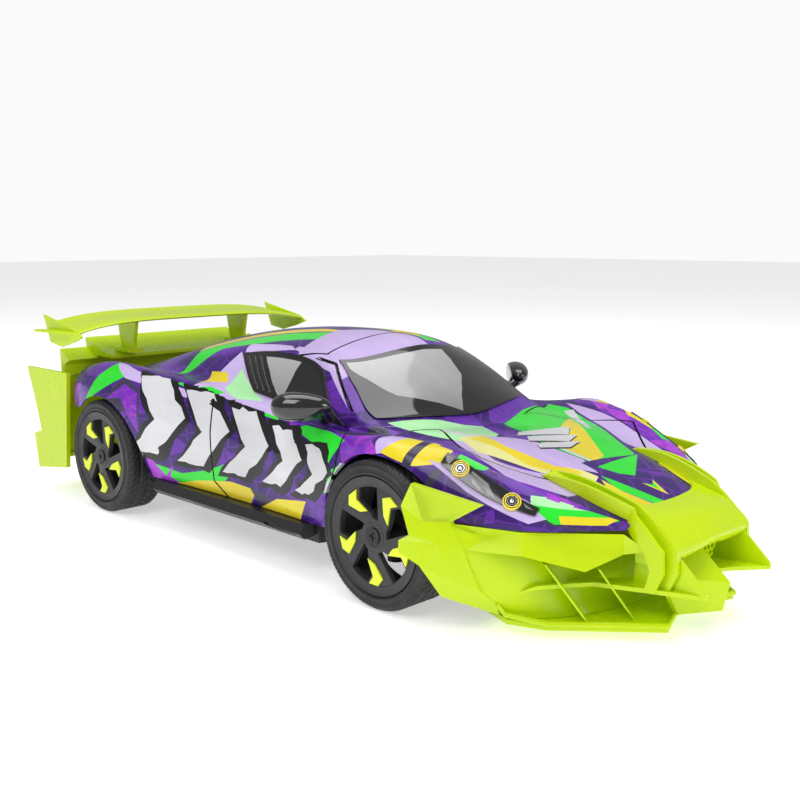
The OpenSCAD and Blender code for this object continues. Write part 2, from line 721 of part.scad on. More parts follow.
module servo_horn() {
    color("#e8e8e6") difference() {
        union() {
            translate([horn_x, 0, lever_z]) cylinder(h = 2.2, d = 7);
            translate([horn_x, -1.8, lever_z]) cube([horn_arm + 1, 3.6, 2.2]);
            translate([rod_x, 0, rod_z - 0.6]) cylinder(h = 4, d = pin_d);
        }
        translate([horn_x, 0, lever_z - 1]) cylinder(h = 4, r = 2 + running);
    }
}

module steering_servo() {
    low_z = lever_z + 2.4;
    color("#26282c") {
        translate([horn_x - 18, -servo_size[1] / 2, low_z]) cube(servo_size);
        translate([horn_x, 0, lever_z + 0.4]) cylinder(h = 3, r = 2);
        for (s = [-1, 1]) translate([horn_x - 16, s * (servo_size[1] / 2 + 2.5) - 2.5, floor_z])
            cube([7, 5, low_z + 6 - floor_z]);
    }
}

// ---------------------------------------------------------------- gears and drive

gear_gap_1 = gear_m * (axle_teeth + idler_small_teeth) / 2;
gear_gap_2 = gear_m * (idler_big_teeth + pinion_teeth) / 2;
idler_lift = 6;
idler_x = rear_x + sqrt(gear_gap_1 ^ 2 - idler_lift ^ 2);
idler_z = axle_z + idler_lift;
motor_x = idler_x + sqrt(gear_gap_2 ^ 2 - idler_lift ^ 2);
motor_l = 31;
motor_d = 24.4;
pressure_angle = 20;
backlash = 0.14;

// Involute flank: point where the unrolled angle is t degrees, on a base circle of radius rb
function involute(rb, t) = rb * [cos(t) + t * PI / 180 * sin(t), sin(t) - t * PI / 180 * cos(t)];
function turned(p, a) = [p[0] * cos(a) - p[1] * sin(a), p[0] * sin(a) + p[1] * cos(a)];
function roll_to(rb, r) = r <= rb ? 0 : sqrt((r / rb) ^ 2 - 1) * 180 / PI;

// Gear outline with the middle of one tooth on the +X axis
function gear_outline(teeth) =
    let (rp = gear_m * teeth / 2, rb = rp * cos(pressure_angle),
        ro = rp + 0.85 * gear_m, rr = rp - 1.2 * gear_m,
        at_pitch = involute(rb, roll_to(rb, rp)),
        half = 90 / teeth - backlash / 2 / rp * 180 / PI + atan2(at_pitch[1], at_pitch[0]),
        flank = [for (k = [0:4]) involute(rb, roll_to(rb, max(rr, rb) + (ro - max(rr, rb)) * k / 4))])
    [for (i = [0:teeth - 1]) each concat(
        [turned([rr, 0], 360 / teeth * i - half)],
        [for (p = flank) turned(p, 360 / teeth * i - half)],
        [for (k = [4:-1:0]) turned([flank[k][0], -flank[k][1]], 360 / teeth * i + half)],
        [turned([rr, 0], 360 / teeth * i + half)])];

// Gear lying in the XZ plane between y0 and y1, with a tooth pointing at the given angle
module gear(teeth, at, y0, y1, angle, bore_r) {
    translate([at[0], y1, at[1]]) rotate([90, 0, 0]) linear_extrude(y1 - y0) difference() {
        rotate(angle) polygon(gear_outline(teeth));
        circle(r = bore_r);
    }
}

to_idler = atan2(idler_z - axle_z, idler_x - rear_x);
to_motor = atan2(axle_z - idler_z, motor_x - idler_x);
shaft_r = 2;

module axle_gear() {
    color("#f2f2ee") {
        gear(axle_teeth, [rear_x, axle_z], 2, 7, to_idler, shaft_r + 0.01);
        difference() {
            y_cylinder([rear_x, -4, axle_z], 6.5, 3.6);
            y_cylinder([rear_x, -5, axle_z], 9, shaft_r + 0.01);
        }
    }
}

module idler_gear() {
    color("#f2f2ee") {
        gear(idler_small_teeth, [idler_x, idler_z], 1.5, 7.5,
            to_idler + 180 + 180 / idler_small_teeth, 1.5 + running);
        gear(idler_big_teeth, [idler_x, idler_z], -3, 1.5, to_motor, 1.5 + running);
    }
}

module motor_pinion() {
    color("#c9a24a")
        gear(pinion_teeth, [motor_x, axle_z], -5, 0.5, to_motor + 180 + 180 / pinion_teeth, 1 + 0.01);
}

module motor() {
    color(steel) {
        y_cylinder([motor_x, -7.4 - motor_l, axle_z], motor_l, motor_d / 2);
        y_cylinder([motor_x, -7.6, axle_z], 1.4, 3);
        y_cylinder([motor_x, -6.5, axle_z], 7, 1 - 0.01);
        for (s = [-1, 1]) translate([motor_x + 2, -7.4 - motor_l - 3, axle_z + s * 7 - 1]) cube([3, 3.5, 2]);
    }
}

case_y0 = -7;
case_y1 = 10;
module case_shape(grow) {
    hull() {
        translate([rear_x, axle_z]) circle(r = 15.2 + grow);
        translate([idler_x, idler_z]) circle(r = 16 + grow);
        translate([motor_x, axle_z]) circle(r = 7 + grow);
    }
}

screw_spots = [[rear_x - 9, axle_z + 15.5], [motor_x + 7.2, axle_z + 8], [idler_x + 2, idler_z + 18.6]];
module case_lugs() {
    for (p = screw_spots) translate(p) circle(d = 6.4);
}

// Extrudes a flat shape drawn in XZ from y0 to y1
module xz_extrude(y0, y1) { translate([0, y1, 0]) rotate([90, 0, 0]) linear_extrude(y1 - y0) children(); }

module gearbox_case() {
    color("#2b2d31") difference() {
        union() {
            xz_extrude(case_y0, case_y1 - 2) union() {
                intersection() {
                    case_shape(1.8);
                    translate([rear_x - 30, floor_z]) square([90, 60]);
                }
                case_lugs();
            }
            y_cylinder([rear_x, case_y0 - 4, axle_z], 5, 6);
        }
        xz_extrude(case_y0 + 1.8, case_y1) intersection() {
            case_shape(0);
            translate([rear_x - 30, floor_z + 0.9]) square([90, 60]);
        }
        y_cylinder([rear_x, case_y0 - 5, axle_z], 9, 3.5);
        y_cylinder([motor_x, case_y0 - 1, axle_z], 4, 3.2);
        y_cylinder([idler_x, case_y0 - 1, idler_z], 4, 1.5);
        xz_extrude(case_y0 - 1, case_y1) for (p = screw_spots) translate(p) circle(d = 2.2);
    }
}

module gearbox_cover() {
    color("#2b2d31") difference() {
        union() {
            xz_extrude(case_y1 - 2 + fitted, case_y1) union() {
                intersection() {
                    case_shape(1.8);
                    translate([rear_x - 30, floor_z]) square([90, 60]);
                }
                case_lugs();
            }
            y_cylinder([rear_x, case_y1 - 1, axle_z], 5, 6);
        }
        y_cylinder([rear_x, case_y1 - 5, axle_z], 12, 3.5);
        y_cylinder([idler_x, case_y1 - 3, idler_z], 4, 1.5);
        xz_extrude(case_y1 - 5, case_y1 + 1) for (p = screw_spots) translate(p) circle(d = 2.4);
    }
}

module gearbox_screws() {
    color(steel) for (p = screw_spots) {
        y_cylinder([p[0], case_y1 - 10, p[1]], 10.2, 1.05);
        y_cylinder([p[0], case_y1 + 0.05, p[1]], 1.6, 2.2);
    }
}

module idler_pin() { color(steel) y_cylinder([idler_x, case_y0, idler_z], case_y1 - case_y0, 1.5 - 0.01); }

module axle_bushes() {
    color("#b08a4c") for (y = [case_y0 - 4, case_y1]) difference() {
        y_cylinder([rear_x, y, axle_z], 4, 3.5 - 0.01);
        y_cylinder([rear_x, y - 1, axle_z], 6, shaft_r + running);
    }
}

hub_back_y = face_y - 13;   // plane of the back of the wheel hubs
module rear_axle() {
    reach = hub_back_y + 8;
    color(steel) difference() {
        union() {
            y_cylinder([rear_x, -reach, axle_z], 2 * reach, shaft_r);
            both_sides() y_cylinder([rear_x, hub_back_y - 7, axle_z], 3, 4.5);
            both_sides() translate([rear_x, hub_back_y - 4, axle_z]) rotate([-90, 0, 0])
                cylinder(h = 6, d = 9, $fn = 6);
        }
        both_sides() y_cylinder([rear_x, reach - 6, axle_z], 7, 1.2);
    }
}

// ---------------------------------------------------------------- wheels

rim_r = 27;
bead_r = 25;
spokes = 5;

// Section of a wheel: x is the radius, y is the distance from the outer face towards the car
module tyre_section() {
    inner = rim_r + fitted;
    difference() {
        intersection() {
            translate([inner, 0.4]) square([tyre_r - inner, tyre_w - 0.4]);
            translate([inner - 10, 0]) offset(r = 4) offset(delta = -4) square([tyre_r - inner + 10, tyre_w]);
        }
        for (y = [8.5, 17.5]) translate([tyre_r - 0.9, y - 0.6]) square([2, 1.2]);
    }
}

module rim_section() {
    translate([bead_r, 1.2]) square([rim_r - bead_r, tyre_w - 3]);
    translate([bead_r - 2.2, 0.6]) square([rim_r - bead_r + 2, 2.6]);
}

// Turns a part drawn with its axis on +Z and its outer face at z = 0 into a left-hand wheel at x
module at_wheel(x) { translate([x, face_y, axle_z]) rotate([90, 0, 0]) children(); }

module polar_polygon(points) { polygon([for (p = points) p[0] * [cos(p[1]), sin(p[1])]]); }
window_points = [[7.8, 0], [8, 23], [10.6, 33], [17.4, 51], [22.2, 43], [22.4, 36], [22.4, 28], [22.4, 21],
    [22.2, 14]];
insert_points = [[11.6, 37], [12.6, 57], [19.3, 71], [22.2, 62], [22.1, 48], [18.4, 54.5]];

module tyre() { color("#1b1c1d") rotate_extrude() tyre_section(); }

// hub_bore_r fits the shaft; hex_d is the width over corners of the driver, or 0 for a plain hub
module rim(hub_bore_r, hub_l, hex_d) {
    color("#3a3c40") difference() {
        union() {
            rotate_extrude() rim_section();
            translate([0, 0, 1.6]) linear_extrude(3) difference() {
                circle(r = bead_r + 0.5);
                for (i = [0:spokes - 1]) rotate(i * 360 / spokes) polar_polygon(window_points);
            }
            translate([0, 0, 1.6]) cylinder(h = hub_l, r = 6.8);
        }
        translate([0, 0, -1]) cylinder(h = 4.2, r = 4.2);
        translate([0, 0, -1]) cylinder(h = 30, r = hub_bore_r);
        if (hex_d > 0) translate([0, 0, 10.9]) cylinder(h = 10, d = hex_d, $fn = 6);
    }
}

module rim_inserts() {
    color("#f2f23a") for (i = [0:spokes - 1]) rotate(i * 360 / spokes)
        translate([0, 0, 0.9]) linear_extrude(0.65) polar_polygon(insert_points);
}

module wheel_screw() {
    color(black) difference() {
        union() {
            translate([0, 0, 1.2]) cylinder(h = 1.9, r = 3.8);
            translate([0, 0, 3]) cylinder(h = 7, r = 1.19);
        }
        translate([0, 0, 1]) linear_extrude(1.4) cross_slot(4, 1);
    }
}

free_hub = 2 + running;
front_hub_l = 6.2;
rear_hub_l = 11.4;
fixed_hub = shaft_r + fitted / 2;
hex_fit = 9 + 2 * fitted;

chassis_tub();
side_skirt();  // side_skirt_left
right_hand() side_skirt();  // side_skirt_right
body_shell();
windscreen();
side_window();  // side_window_left
right_hand() side_window();  // side_window_right
headlight();  // headlight_left
right_hand() headlight();  // headlight_right
mirror_pod();  // mirror_left
right_hand() mirror_pod();  // mirror_right
front_bumper();
front_splitter();
grille_mesh();
rear_bumper();
ducktail();
rear_wing();
wing_stays();
body_posts();
body_screws();
battery_pack();
battery_door();
battery_door_screw();
receiver_board();
antenna_wire();
motor_wires();
power_switch_case();
power_switch_slider();
steering_servo();
servo_horn();
tie_rod();
knuckle();  // knuckle_left
right_hand() knuckle();  // knuckle_right
kingpins();
stub_axle();  // stub_axle_left
right_hand() stub_axle();  // stub_axle_right
gearbox_case();
gearbox_cover();
gearbox_screws();
axle_bushes();
idler_pin();
motor();
motor_pinion();
idler_gear();
axle_gear();
rear_axle();
at_wheel(front_x) tyre();  // tyre_front_left
at_wheel(front_x) rim(free_hub, front_hub_l, 0);  // rim_front_left
at_wheel(front_x) wheel_screw();  // wheel_screw_front_left
right_hand() at_wheel(front_x) tyre();  // tyre_front_right
right_hand() at_wheel(front_x) rim(free_hub, front_hub_l, 0);  // rim_front_right
right_hand() at_wheel(front_x) wheel_screw();  // wheel_screw_front_right
at_wheel(rear_x) tyre();  // tyre_rear_left
at_wheel(rear_x) rim(fixed_hub, rear_hub_l, hex_fit);  // rim_rear_left
right_hand() at_wheel(rear_x) tyre();  // tyre_rear_right
right_hand() at_wheel(rear_x) rim(fixed_hub, rear_hub_l, hex_fit);  // rim_rear_right
both_sides() at_wheel(rear_x) wheel_screw();  // rear_wheel_screws
at_wheel(front_x) rim_inserts();  // rim_inserts_front_left
right_hand() at_wheel(front_x) rim_inserts();  // rim_inserts_front_right
both_sides() at_wheel(rear_x) rim_inserts();  // rim_inserts_rear
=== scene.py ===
"""Looks of a toy-grade drift car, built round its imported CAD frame.

Tables and builders work in millimetres, in the frame of the CAD part (+X to the nose, +Y to the left,
+Z up); a mesh is scaled to metres when it becomes an object. Feature lines give x from the middle of the
wheelbase, and the two aero kits give x from their own axle.
"""

import math
import random

import bmesh
import bpy
from mathutils import Matrix, Vector


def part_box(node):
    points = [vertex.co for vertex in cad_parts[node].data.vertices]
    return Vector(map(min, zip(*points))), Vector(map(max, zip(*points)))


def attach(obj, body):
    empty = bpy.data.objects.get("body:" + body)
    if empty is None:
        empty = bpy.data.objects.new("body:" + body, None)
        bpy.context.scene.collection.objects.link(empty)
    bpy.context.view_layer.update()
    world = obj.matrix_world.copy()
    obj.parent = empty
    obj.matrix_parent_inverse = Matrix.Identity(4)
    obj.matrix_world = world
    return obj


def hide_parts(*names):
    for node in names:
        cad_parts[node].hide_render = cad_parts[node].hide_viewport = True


MM = 0.001

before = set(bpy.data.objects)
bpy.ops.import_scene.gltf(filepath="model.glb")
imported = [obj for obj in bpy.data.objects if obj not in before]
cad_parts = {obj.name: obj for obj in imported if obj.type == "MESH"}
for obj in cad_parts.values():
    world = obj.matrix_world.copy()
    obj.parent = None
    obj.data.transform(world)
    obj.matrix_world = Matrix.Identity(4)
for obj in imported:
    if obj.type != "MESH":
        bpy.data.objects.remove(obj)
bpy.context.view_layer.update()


def node_box(name):
    """Corners of a CAD node's box, in millimetres."""
    low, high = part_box(name)
    return low / MM, high / MM


TYRE_LOW, TYRE_HIGH = node_box("tyre_front_left")
TYRE_R = (TYRE_HIGH.z - TYRE_LOW.z) / 2
AXLE_Z = (TYRE_HIGH.z + TYRE_LOW.z) / 2
FACE_Y = TYRE_HIGH.y
TYRE_W = TYRE_HIGH.y - TYRE_LOW.y
FRONT_X = (TYRE_HIGH.x + TYRE_LOW.x) / 2
REAR_X = sum(corner.x for corner in node_box("tyre_rear_left")) / 2
MID_X = (FRONT_X + REAR_X) / 2
HALF_BASE = (FRONT_X - REAR_X) / 2

# ---------------------------------------------------------------- colours and materials

LIME = (0.52, 0.70, 0.002)
COLOURS = {
    "purple": (0.036, 0.006, 0.145),
    "violet": (0.170, 0.022, 0.470),
    "magenta": (0.400, 0.050, 0.620),
    "green": (0.020, 0.720, 0.030),
    "mint": (0.420, 0.830, 0.400),
    "yellow": (0.800, 0.640, 0.020),
    "cream": (0.780, 0.760, 0.300),
    "lavender": (0.560, 0.430, 0.760),
    "white": (0.640, 0.640, 0.665),
    "slate": (0.040, 0.035, 0.075),
    "black": (0.006, 0.006, 0.007),
}


class Nodes:
    """Short way to add shader nodes to a material and link them."""

    def __init__(self, name):
        self.material = bpy.data.materials.new(name)
        self.material.use_nodes = True
        self.tree = self.material.node_tree
        self.tree.nodes.clear()
        self.place = self.add("ShaderNodeTexCoord").outputs["Object"]

    def add(self, kind, settings=None, **inputs):
        """New node; settings are its properties, inputs its socket values or links."""
        made = self.tree.nodes.new(kind)
        for key, value in (settings or {}).items():
            setattr(made, key, value)
        for key, value in inputs.items():
            socket = made.inputs[key.replace("_", " ")]
            if isinstance(value, bpy.types.NodeSocket):
                self.tree.links.new(value, socket)
            else:
                socket.default_value = value
        return made

    def noise(self, scale, detail=3.0, stretch=(1, 1, 1)):
        """Noise between 0 and 1 whose features are about 1/scale metres across."""
        place = self.add("ShaderNodeMapping", Vector=self.place, Scale=stretch).outputs[0]
        return self.add("ShaderNodeTexNoise", Vector=place, Scale=scale, Detail=detail).outputs["Fac"]

    def spread(self, value, low, high, from_low=0.3, from_high=0.7):
        """Maps a value onto low to high."""
        return self.add("ShaderNodeMapRange", {"clamp": True}, Value=value, From_Min=from_low,
                        From_Max=from_high, To_Min=low, To_Max=high).outputs[0]

    def mix(self, fac, a, b):
        """Colour a where fac is 0 and b where it is 1."""
        made = self.tree.nodes.new("ShaderNodeMix")
        made.data_type = "RGBA"
        for socket, value in ((made.inputs[0], fac), (made.inputs[6], a), (made.inputs[7], b)):
            if isinstance(value, bpy.types.NodeSocket):
                self.tree.links.new(value, socket)
            else:
                socket.default_value = (*value, 1) if isinstance(value, tuple) else value
        return made.outputs[2]

    def finish(self, colour, rough, height=None, bump=0.1, **inputs):
        """Closes the material with a principled shader and a bump from the height."""
        shader = self.add("ShaderNodeBsdfPrincipled", Base_Color=colour, Roughness=rough, **inputs)
        if height is not None:
            bumped = self.add("ShaderNodeBump", Strength=bump, Distance=0.0004, Height=height)
            self.tree.links.new(bumped.outputs[0], shader.inputs["Normal"])
        out = self.add("ShaderNodeOutputMaterial")
        self.tree.links.new(shader.outputs[0], out.inputs[0])
        return self.material


def tint(colour, factor):
    return tuple(min(1.0, c * factor) for c in colour)


def moulded(name, colour, rough, vary=0.12, grain=900, bump=0.15, **inputs):
    """Injection-moulded plastic: slight colour drift, handling haze and a fine skin."""
    n = Nodes(name)
    base = n.mix(n.spread(n.noise(22), 0, 1), tint(colour, 1 - vary), tint(colour, 1 + vary / 2))
    worn = n.mix(n.spread(n.noise(260, 6), 0, 0.25, 0.55, 0.8), base, tint(colour, 1.5))
    haze = n.spread(n.noise(55, 5), rough * 0.8, rough * 1.35)
    return n.finish(worn, haze, n.noise(grain, 4), bump, **inputs)


def lime_plastic():
    """Lime of the aero kit: glossy, a little darker in broad random patches, with pale streaks and a faint
    painted glow.
    """
    n = Nodes("lime_plastic")
    flow = n.noise(14, 2, (1, 0.4, 1))
    base = n.mix(n.spread(flow, 0, 1), tint(LIME, 0.93), LIME)
    streak = n.mix(n.spread(n.noise(120, 5, (0.3, 1, 1)), 0, 0.12, 0.5, 0.8), base, (0.64, 0.76, 0.03))
    rough = n.spread(n.noise(70, 5), 0.22, 0.34)
    # The weak lime emission is a painted glow that brightens the plastic; the part is no lamp.
    return n.finish(streak, rough, n.noise(700, 4), 0.05, Specular_IOR_Level=0.3, Coat_Weight=0.1,
                    Coat_Roughness=0.12, Emission_Color=(*LIME, 1), Emission_Strength=0.06)


def crackle(n, scale):
    """Masks of the cracks and of the jagged shards between them."""
    warp = n.add("ShaderNodeMapping", Vector=n.place, Rotation=(0.4, 0.7, 0.3),
                 Scale=(1, 1.5, 2.1)).outputs[0]
    edge = n.add("ShaderNodeTexVoronoi", {"feature": "DISTANCE_TO_EDGE"}, Vector=warp, Scale=scale)
    cell = n.add("ShaderNodeTexVoronoi", {"feature": "F1"}, Vector=warp, Scale=scale * 0.55)
    split = n.add("ShaderNodeSeparateColor", Color=cell.outputs["Color"]).outputs[0]
    lines = n.spread(edge.outputs["Distance"], 1, 0, 0.035, 0.05)
    shards = n.spread(split, 0, 1, 0.66, 0.67)
    return lines, shards


def printed(name, colour, second=None, scale=60):
    """Printed shell: ink with a slight dot variation under a clear coat; second colour as shards."""
    n = Nodes("print_" + name)
    base = n.mix(n.spread(n.noise(18, 3), 0, 1), tint(colour, 0.86), tint(colour, 1.1))
    if second:
        lines, shards = crackle(n, scale)
        base = n.mix(shards, base, second)
        base = n.mix(lines, base, tint(second, 0.75))
    brushed = n.noise(150, 6, (0.12, 1, 1))
    base = n.mix(n.spread(brushed, 0, 0.16, 0.5, 0.75), base, tint(colour, 1.6))
    rough = n.spread(n.noise(45, 5), 0.24, 0.4)
    return n.finish(base, rough, n.noise(420, 4), 0.02, Specular_IOR_Level=0.2, Coat_Weight=0.3,
                    Coat_Roughness=0.05)


def rubber():
    n = Nodes("tyre_rubber")
    base = n.mix(n.spread(n.noise(90, 5), 0, 1), (0.010, 0.010, 0.011), (0.022, 0.022, 0.023))
    dust = n.mix(n.spread(n.noise(30, 6), 0, 0.4, 0.52, 0.8), base, (0.036, 0.035, 0.034))
    return n.finish(dust, n.spread(n.noise(200, 4), 0.42, 0.62), n.noise(1300, 5), 0.3,
                    Specular_IOR_Level=0.4)


def brushed_metal(name, colour, rough=0.3):
    n = Nodes(name)
    lines = n.noise(900, 4, (1, 0.05, 1))
    base = n.mix(n.spread(lines, 0, 1), tint(colour, 0.8), tint(colour, 1.1))
    return n.finish(base, n.spread(n.noise(120, 4), rough * 0.7, rough * 1.4), lines, 0.2, Metallic=1.0)


def circuit_board():
    n = Nodes("circuit_board")
    traces = n.add("ShaderNodeTexBrick", {"offset": 0.35}, Vector=n.place, Scale=260.0, Mortar_Size=0.05,
                   Color1=(0.012, 0.16, 0.05, 1), Color2=(0.010, 0.13, 0.045, 1),
                   Mortar=(0.05, 0.33, 0.12, 1))
    base = n.mix(n.spread(n.noise(60), 0, 0.4), traces.outputs["Color"], (0.01, 0.1, 0.03))
    return n.finish(base, n.spread(n.noise(200), 0.25, 0.45), traces.outputs["Fac"], 0.3)


def window_glass(name, colour, rough):
    """Tinted window film: near black, with a soft large-scale drift and faint wipe marks."""
    n = Nodes(name)
    base = n.mix(n.spread(n.noise(9, 2), 0, 1), tint(colour, 0.8), tint(colour, 1.15))
    wiped = n.mix(n.spread(n.noise(60, 5, (0.3, 1, 1)), 0, 0.15, 0.5, 0.8), base, tint(colour, 1.6))
    return n.finish(wiped, n.spread(n.noise(40, 4), rough, rough * 2), n.noise(300, 3), 0.01,
                    Coat_Weight=0.4)


def painted_reflection():
    """Pale highlight printed on the windows, darker towards its lower end."""
    n = Nodes("window_sheen")
    z = n.add("ShaderNodeSeparateXYZ", Vector=n.place).outputs[2]
    fade = n.spread(z, 0, 1, 0.074, 0.116)
    base = n.mix(fade, (0.20, 0.20, 0.205), (0.50, 0.50, 0.51))
    wiped = n.mix(n.spread(n.noise(60, 5, (0.3, 1, 1)), 0, 0.2, 0.5, 0.8), base, (0.6, 0.6, 0.61))
    return n.finish(wiped, n.spread(n.noise(40, 4), 0.12, 0.24), n.noise(300, 3), 0.01, Coat_Weight=0.4)


MATS = {
    "lime": lime_plastic(),
    "tyre": rubber(),
    "rim": moulded("rim_plastic", (0.042, 0.042, 0.045), 0.42, grain=1200, bump=0.2,
                   Specular_IOR_Level=0.35),
    "rim_dark": moulded("rim_recess", (0.012, 0.012, 0.013), 0.5, grain=1200, bump=0.2),
    "insert": moulded("insert_yellow", (0.80, 0.92, 0.02), 0.34, vary=0.06),
    "gloss_black": moulded("gloss_black", (0.008, 0.008, 0.009), 0.12, grain=500, bump=0.02,
                           Coat_Weight=0.7),
    "trim": moulded("black_plastic", (0.016, 0.016, 0.018), 0.36, grain=1500, bump=0.3),
    "chassis": moulded("chassis_plastic", (0.020, 0.020, 0.022), 0.55, grain=1500, bump=0.5),
    "white": moulded("white_plastic", (0.72, 0.72, 0.69), 0.42),
    "red": moulded("wire_cover", (0.55, 0.02, 0.02), 0.4),
    "battery": moulded("battery_wrap", (0.02, 0.13, 0.55), 0.28, vary=0.2),
    "steel": brushed_metal("steel", (0.55, 0.56, 0.58)),
    "brass": brushed_metal("brass", (0.72, 0.50, 0.20)),
    "board": circuit_board(),
    "glass": window_glass("window_glass", (0.010, 0.010, 0.012), 0.04),
    "frame": window_glass("window_frame", (0.004, 0.004, 0.005), 0.1),
    "sheen": painted_reflection(),
    "lamp_chrome": brushed_metal("lamp_chrome", (0.78, 0.78, 0.80), 0.12),
    "lamp_yellow": moulded("lamp_yellow", (0.80, 0.64, 0.06), 0.25),
}
PRINTS = {name: printed(name, colour) for name, colour in COLOURS.items()}
PRINTS["purple"] = printed("purple_shards", COLOURS["purple"], (0.120, 0.020, 0.360), 62)
PRINTS["violet"] = printed("violet_shards", COLOURS["violet"], COLOURS["magenta"], 95)
PRINT_ORDER = list(PRINTS)

# ---------------------------------------------------------------- mesh helpers


def finish_object(name, mesh, mats, body="chassis", replaces=(), angle=35):
    """Turns a mesh in millimetres into a smooth-shaded object that rides on a body."""
    mesh.transform(Matrix.Scale(MM, 4))
    for mat in mats:
        mesh.materials.append(mat)
    mesh.shade_smooth()
    mesh.set_sharp_from_angle(angle=math.radians(angle))
    made = bpy.data.objects.new(name, mesh)
    bpy.context.scene.collection.objects.link(made)
    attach(made, body)
    if replaces:
        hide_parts(*replaces)
    return made


def bm_object(name, bm, mats, **options):
    bmesh.ops.recalc_face_normals(bm, faces=bm.faces)
    mesh = bpy.data.meshes.new(name)
    bm.to_mesh(mesh)
    bm.free()
    return finish_object(name, mesh, mats, **options)


def bevel(made, width, segments=2, angle=30):
    """Rounds the edges of an object by width millimetres."""
    mod = made.modifiers.new("edges", "BEVEL")
    mod.width = width * MM
    mod.segments = segments
    mod.limit_method = "ANGLE"
    mod.angle_limit = math.radians(angle)
    mod.harden_normals = True
    return made


def add_facets(bm, points, faces, push):
    """Adds a closed sheet of the given facets, with depth push behind them."""
    depth = Vector(push)
    upper = [bm.verts.new(p) for p in points]
    lower = [bm.verts.new(Vector(p) + depth) for p in points]
    edges = {}
    for face in faces:
        bm.faces.new([upper[i] for i in face])
        bm.faces.new([lower[i] for i in reversed(face)])
        for a, b in zip(face, face[1:] + face[:1]):
            edges[(a, b)] = True
    for a, b in edges:
        if (b, a) not in edges:
            bm.faces.new((upper[b], upper[a], lower[a], lower[b]))


def add_prism(bm, outline, axis, low, high):
    """Adds a prism: an outline in the plane across the axis, between two values along it."""
    def at(p, t):
        return {"x": (t, p[0], p[1]), "y": (p[0], t, p[1]), "z": (p[0], p[1], t)}[axis]
    a = [bm.verts.new(at(p, low)) for p in outline]
    b = [bm.verts.new(at(p, high)) for p in outline]
    bm.faces.new(a)
    bm.faces.new(list(reversed(b)))
    for i in range(len(outline)):
        k = (i + 1) % len(outline)
        bm.faces.new((a[i], b[i], b[k], a[k]))


def add_mirrored(bm):
    """Adds the mirror image of everything in the mesh, across the car's middle plane."""
    copy = bmesh.ops.duplicate(bm, geom=bm.verts[:] + bm.edges[:] + bm.faces[:])["geom"]
    verts = [g for g in copy if isinstance(g, bmesh.types.BMVert)]
    for vert in verts:
        vert.co.y = -vert.co.y


def cut_line(bm, geom, a, b, axes):
    """Cuts the geometry along the line through a and b, in the view that shows the two axes."""
    spot, across = Vector(), Vector()
    spot[axes[0]], spot[axes[1]] = a
    across[axes[0]], across[axes[1]] = a[1] - b[1], b[0] - a[0]
    done = bmesh.ops.bisect_plane(bm, geom=geom, dist=0.002, plane_co=spot, plane_no=across)
    return done["geom"]


def inside(point, outline):
    """Whether a point lies inside an outline."""
    x, y = point
    odd = False
    for (x0, y0), (x1, y1) in zip(outline, outline[1:] + outline[:1]):
        if (y0 > y) != (y1 > y) and x < (x1 - x0) * (y - y0) / (y1 - y0) + x0:
            odd = not odd
    return odd


def faces_in_box(bm, outline, axes, accept, margin=0.5):
    """Faces that accept() takes and whose box in the view meets the outline's box."""
    low = [min(p[i] for p in outline) - margin for i in (0, 1)]
    high = [max(p[i] for p in outline) + margin for i in (0, 1)]
    found = []
    for face in bm.faces:
        if not accept(face):
            continue
        for i in (0, 1):
            values = [v.co[axes[i]] for v in face.verts]
            if max(values) < low[i] or min(values) > high[i]:
                break
        else:
            found.append(face)
    return found


def geometry_of(faces):
    """The faces with their edges and corners, each once."""
    edges = {e for f in faces for e in f.edges}
    verts = {v for f in faces for v in f.verts}
    return list(verts) + list(edges) + list(faces)


def paint(bm, outline, axes, accept, index):
    """Cuts an outline into the mesh and gives the faces inside it a material."""
    faces = faces_in_box(bm, outline, axes, accept)
    if not faces:
        return
    geom = geometry_of(faces)
    for a, b in zip(outline, outline[1:] + outline[:1]):
        geom = cut_line(bm, geom, a, b, axes)
    for g in geom:
        if isinstance(g, bmesh.types.BMFace) and accept(g):
            middle = g.calc_center_median()
            if inside((middle[axes[0]], middle[axes[1]]), outline):
                g.material_index = index


# ---------------------------------------------------------------- body surface

SILL_H = 27
DOOR_H = 45
NOSE_EDGE_H = 47
TAIL_EDGE_H = 60
SHELL_T = 1.6
ARCH_GAP = 2.5
ARCH_HALF_W = 40
SILL_LINE = [(-178, 64), (-156, 76), (-119, 80), (-75, 77), (0, 74), (82, 77), (119, 80), (156, 77),
             (190, 66), (216, 38)]
DOOR_LINE = [(-178, 68), (-156, 80), (-119, 86), (-75, 83), (-27, 77), (20, 75), (82, 81), (119, 86),
             (156, 80), (190, 67), (216, 39)]
SHOULDER_LINE = [(-178, 69, 66), (-156, 81, 73), (-119, 85, 77), (-75, 83, 72), (-27, 77, 62),
                 (20, 75, 57), (82, 79, 62), (119, 84, 74), (156, 78, 60), (190, 66, 52), (216, 38, 48)]
CREST_LINE = [(-178, 64, 77), (-156, 71, 84), (-119, 74, 90), (-75, 75, 87), (-27, 72, 82),
              (20, 70, 76), (82, 72, 73), (119, 72, 77), (146, 69, 75), (170, 63, 67), (190, 55, 59),
              (216, 35, 48.8)]
VALLEY_LINE = [(-178, 48, 72), (-156, 52, 78), (-119, 54, 84), (-75, 57, 86), (-27, 62, 86),
               (20, 64, 81), (54, 65, 77), (88, 62, 73), (119, 53, 72), (146, 48, 70), (170, 43, 64),
               (190, 38, 58.5), (216, 30, 49.8)]
RAIL_LINE = [(-178, 26, 74), (-156, 29, 80), (-119, 34, 89), (-75, 43, 98), (-27, 48, 104),
             (14, 49, 106), (46, 46, 103), (68, 53, 91), (88, 57, 78), (119, 34, 73), (146, 28, 72),
             (170, 25, 66), (190, 24, 60.5), (216, 22, 51)]
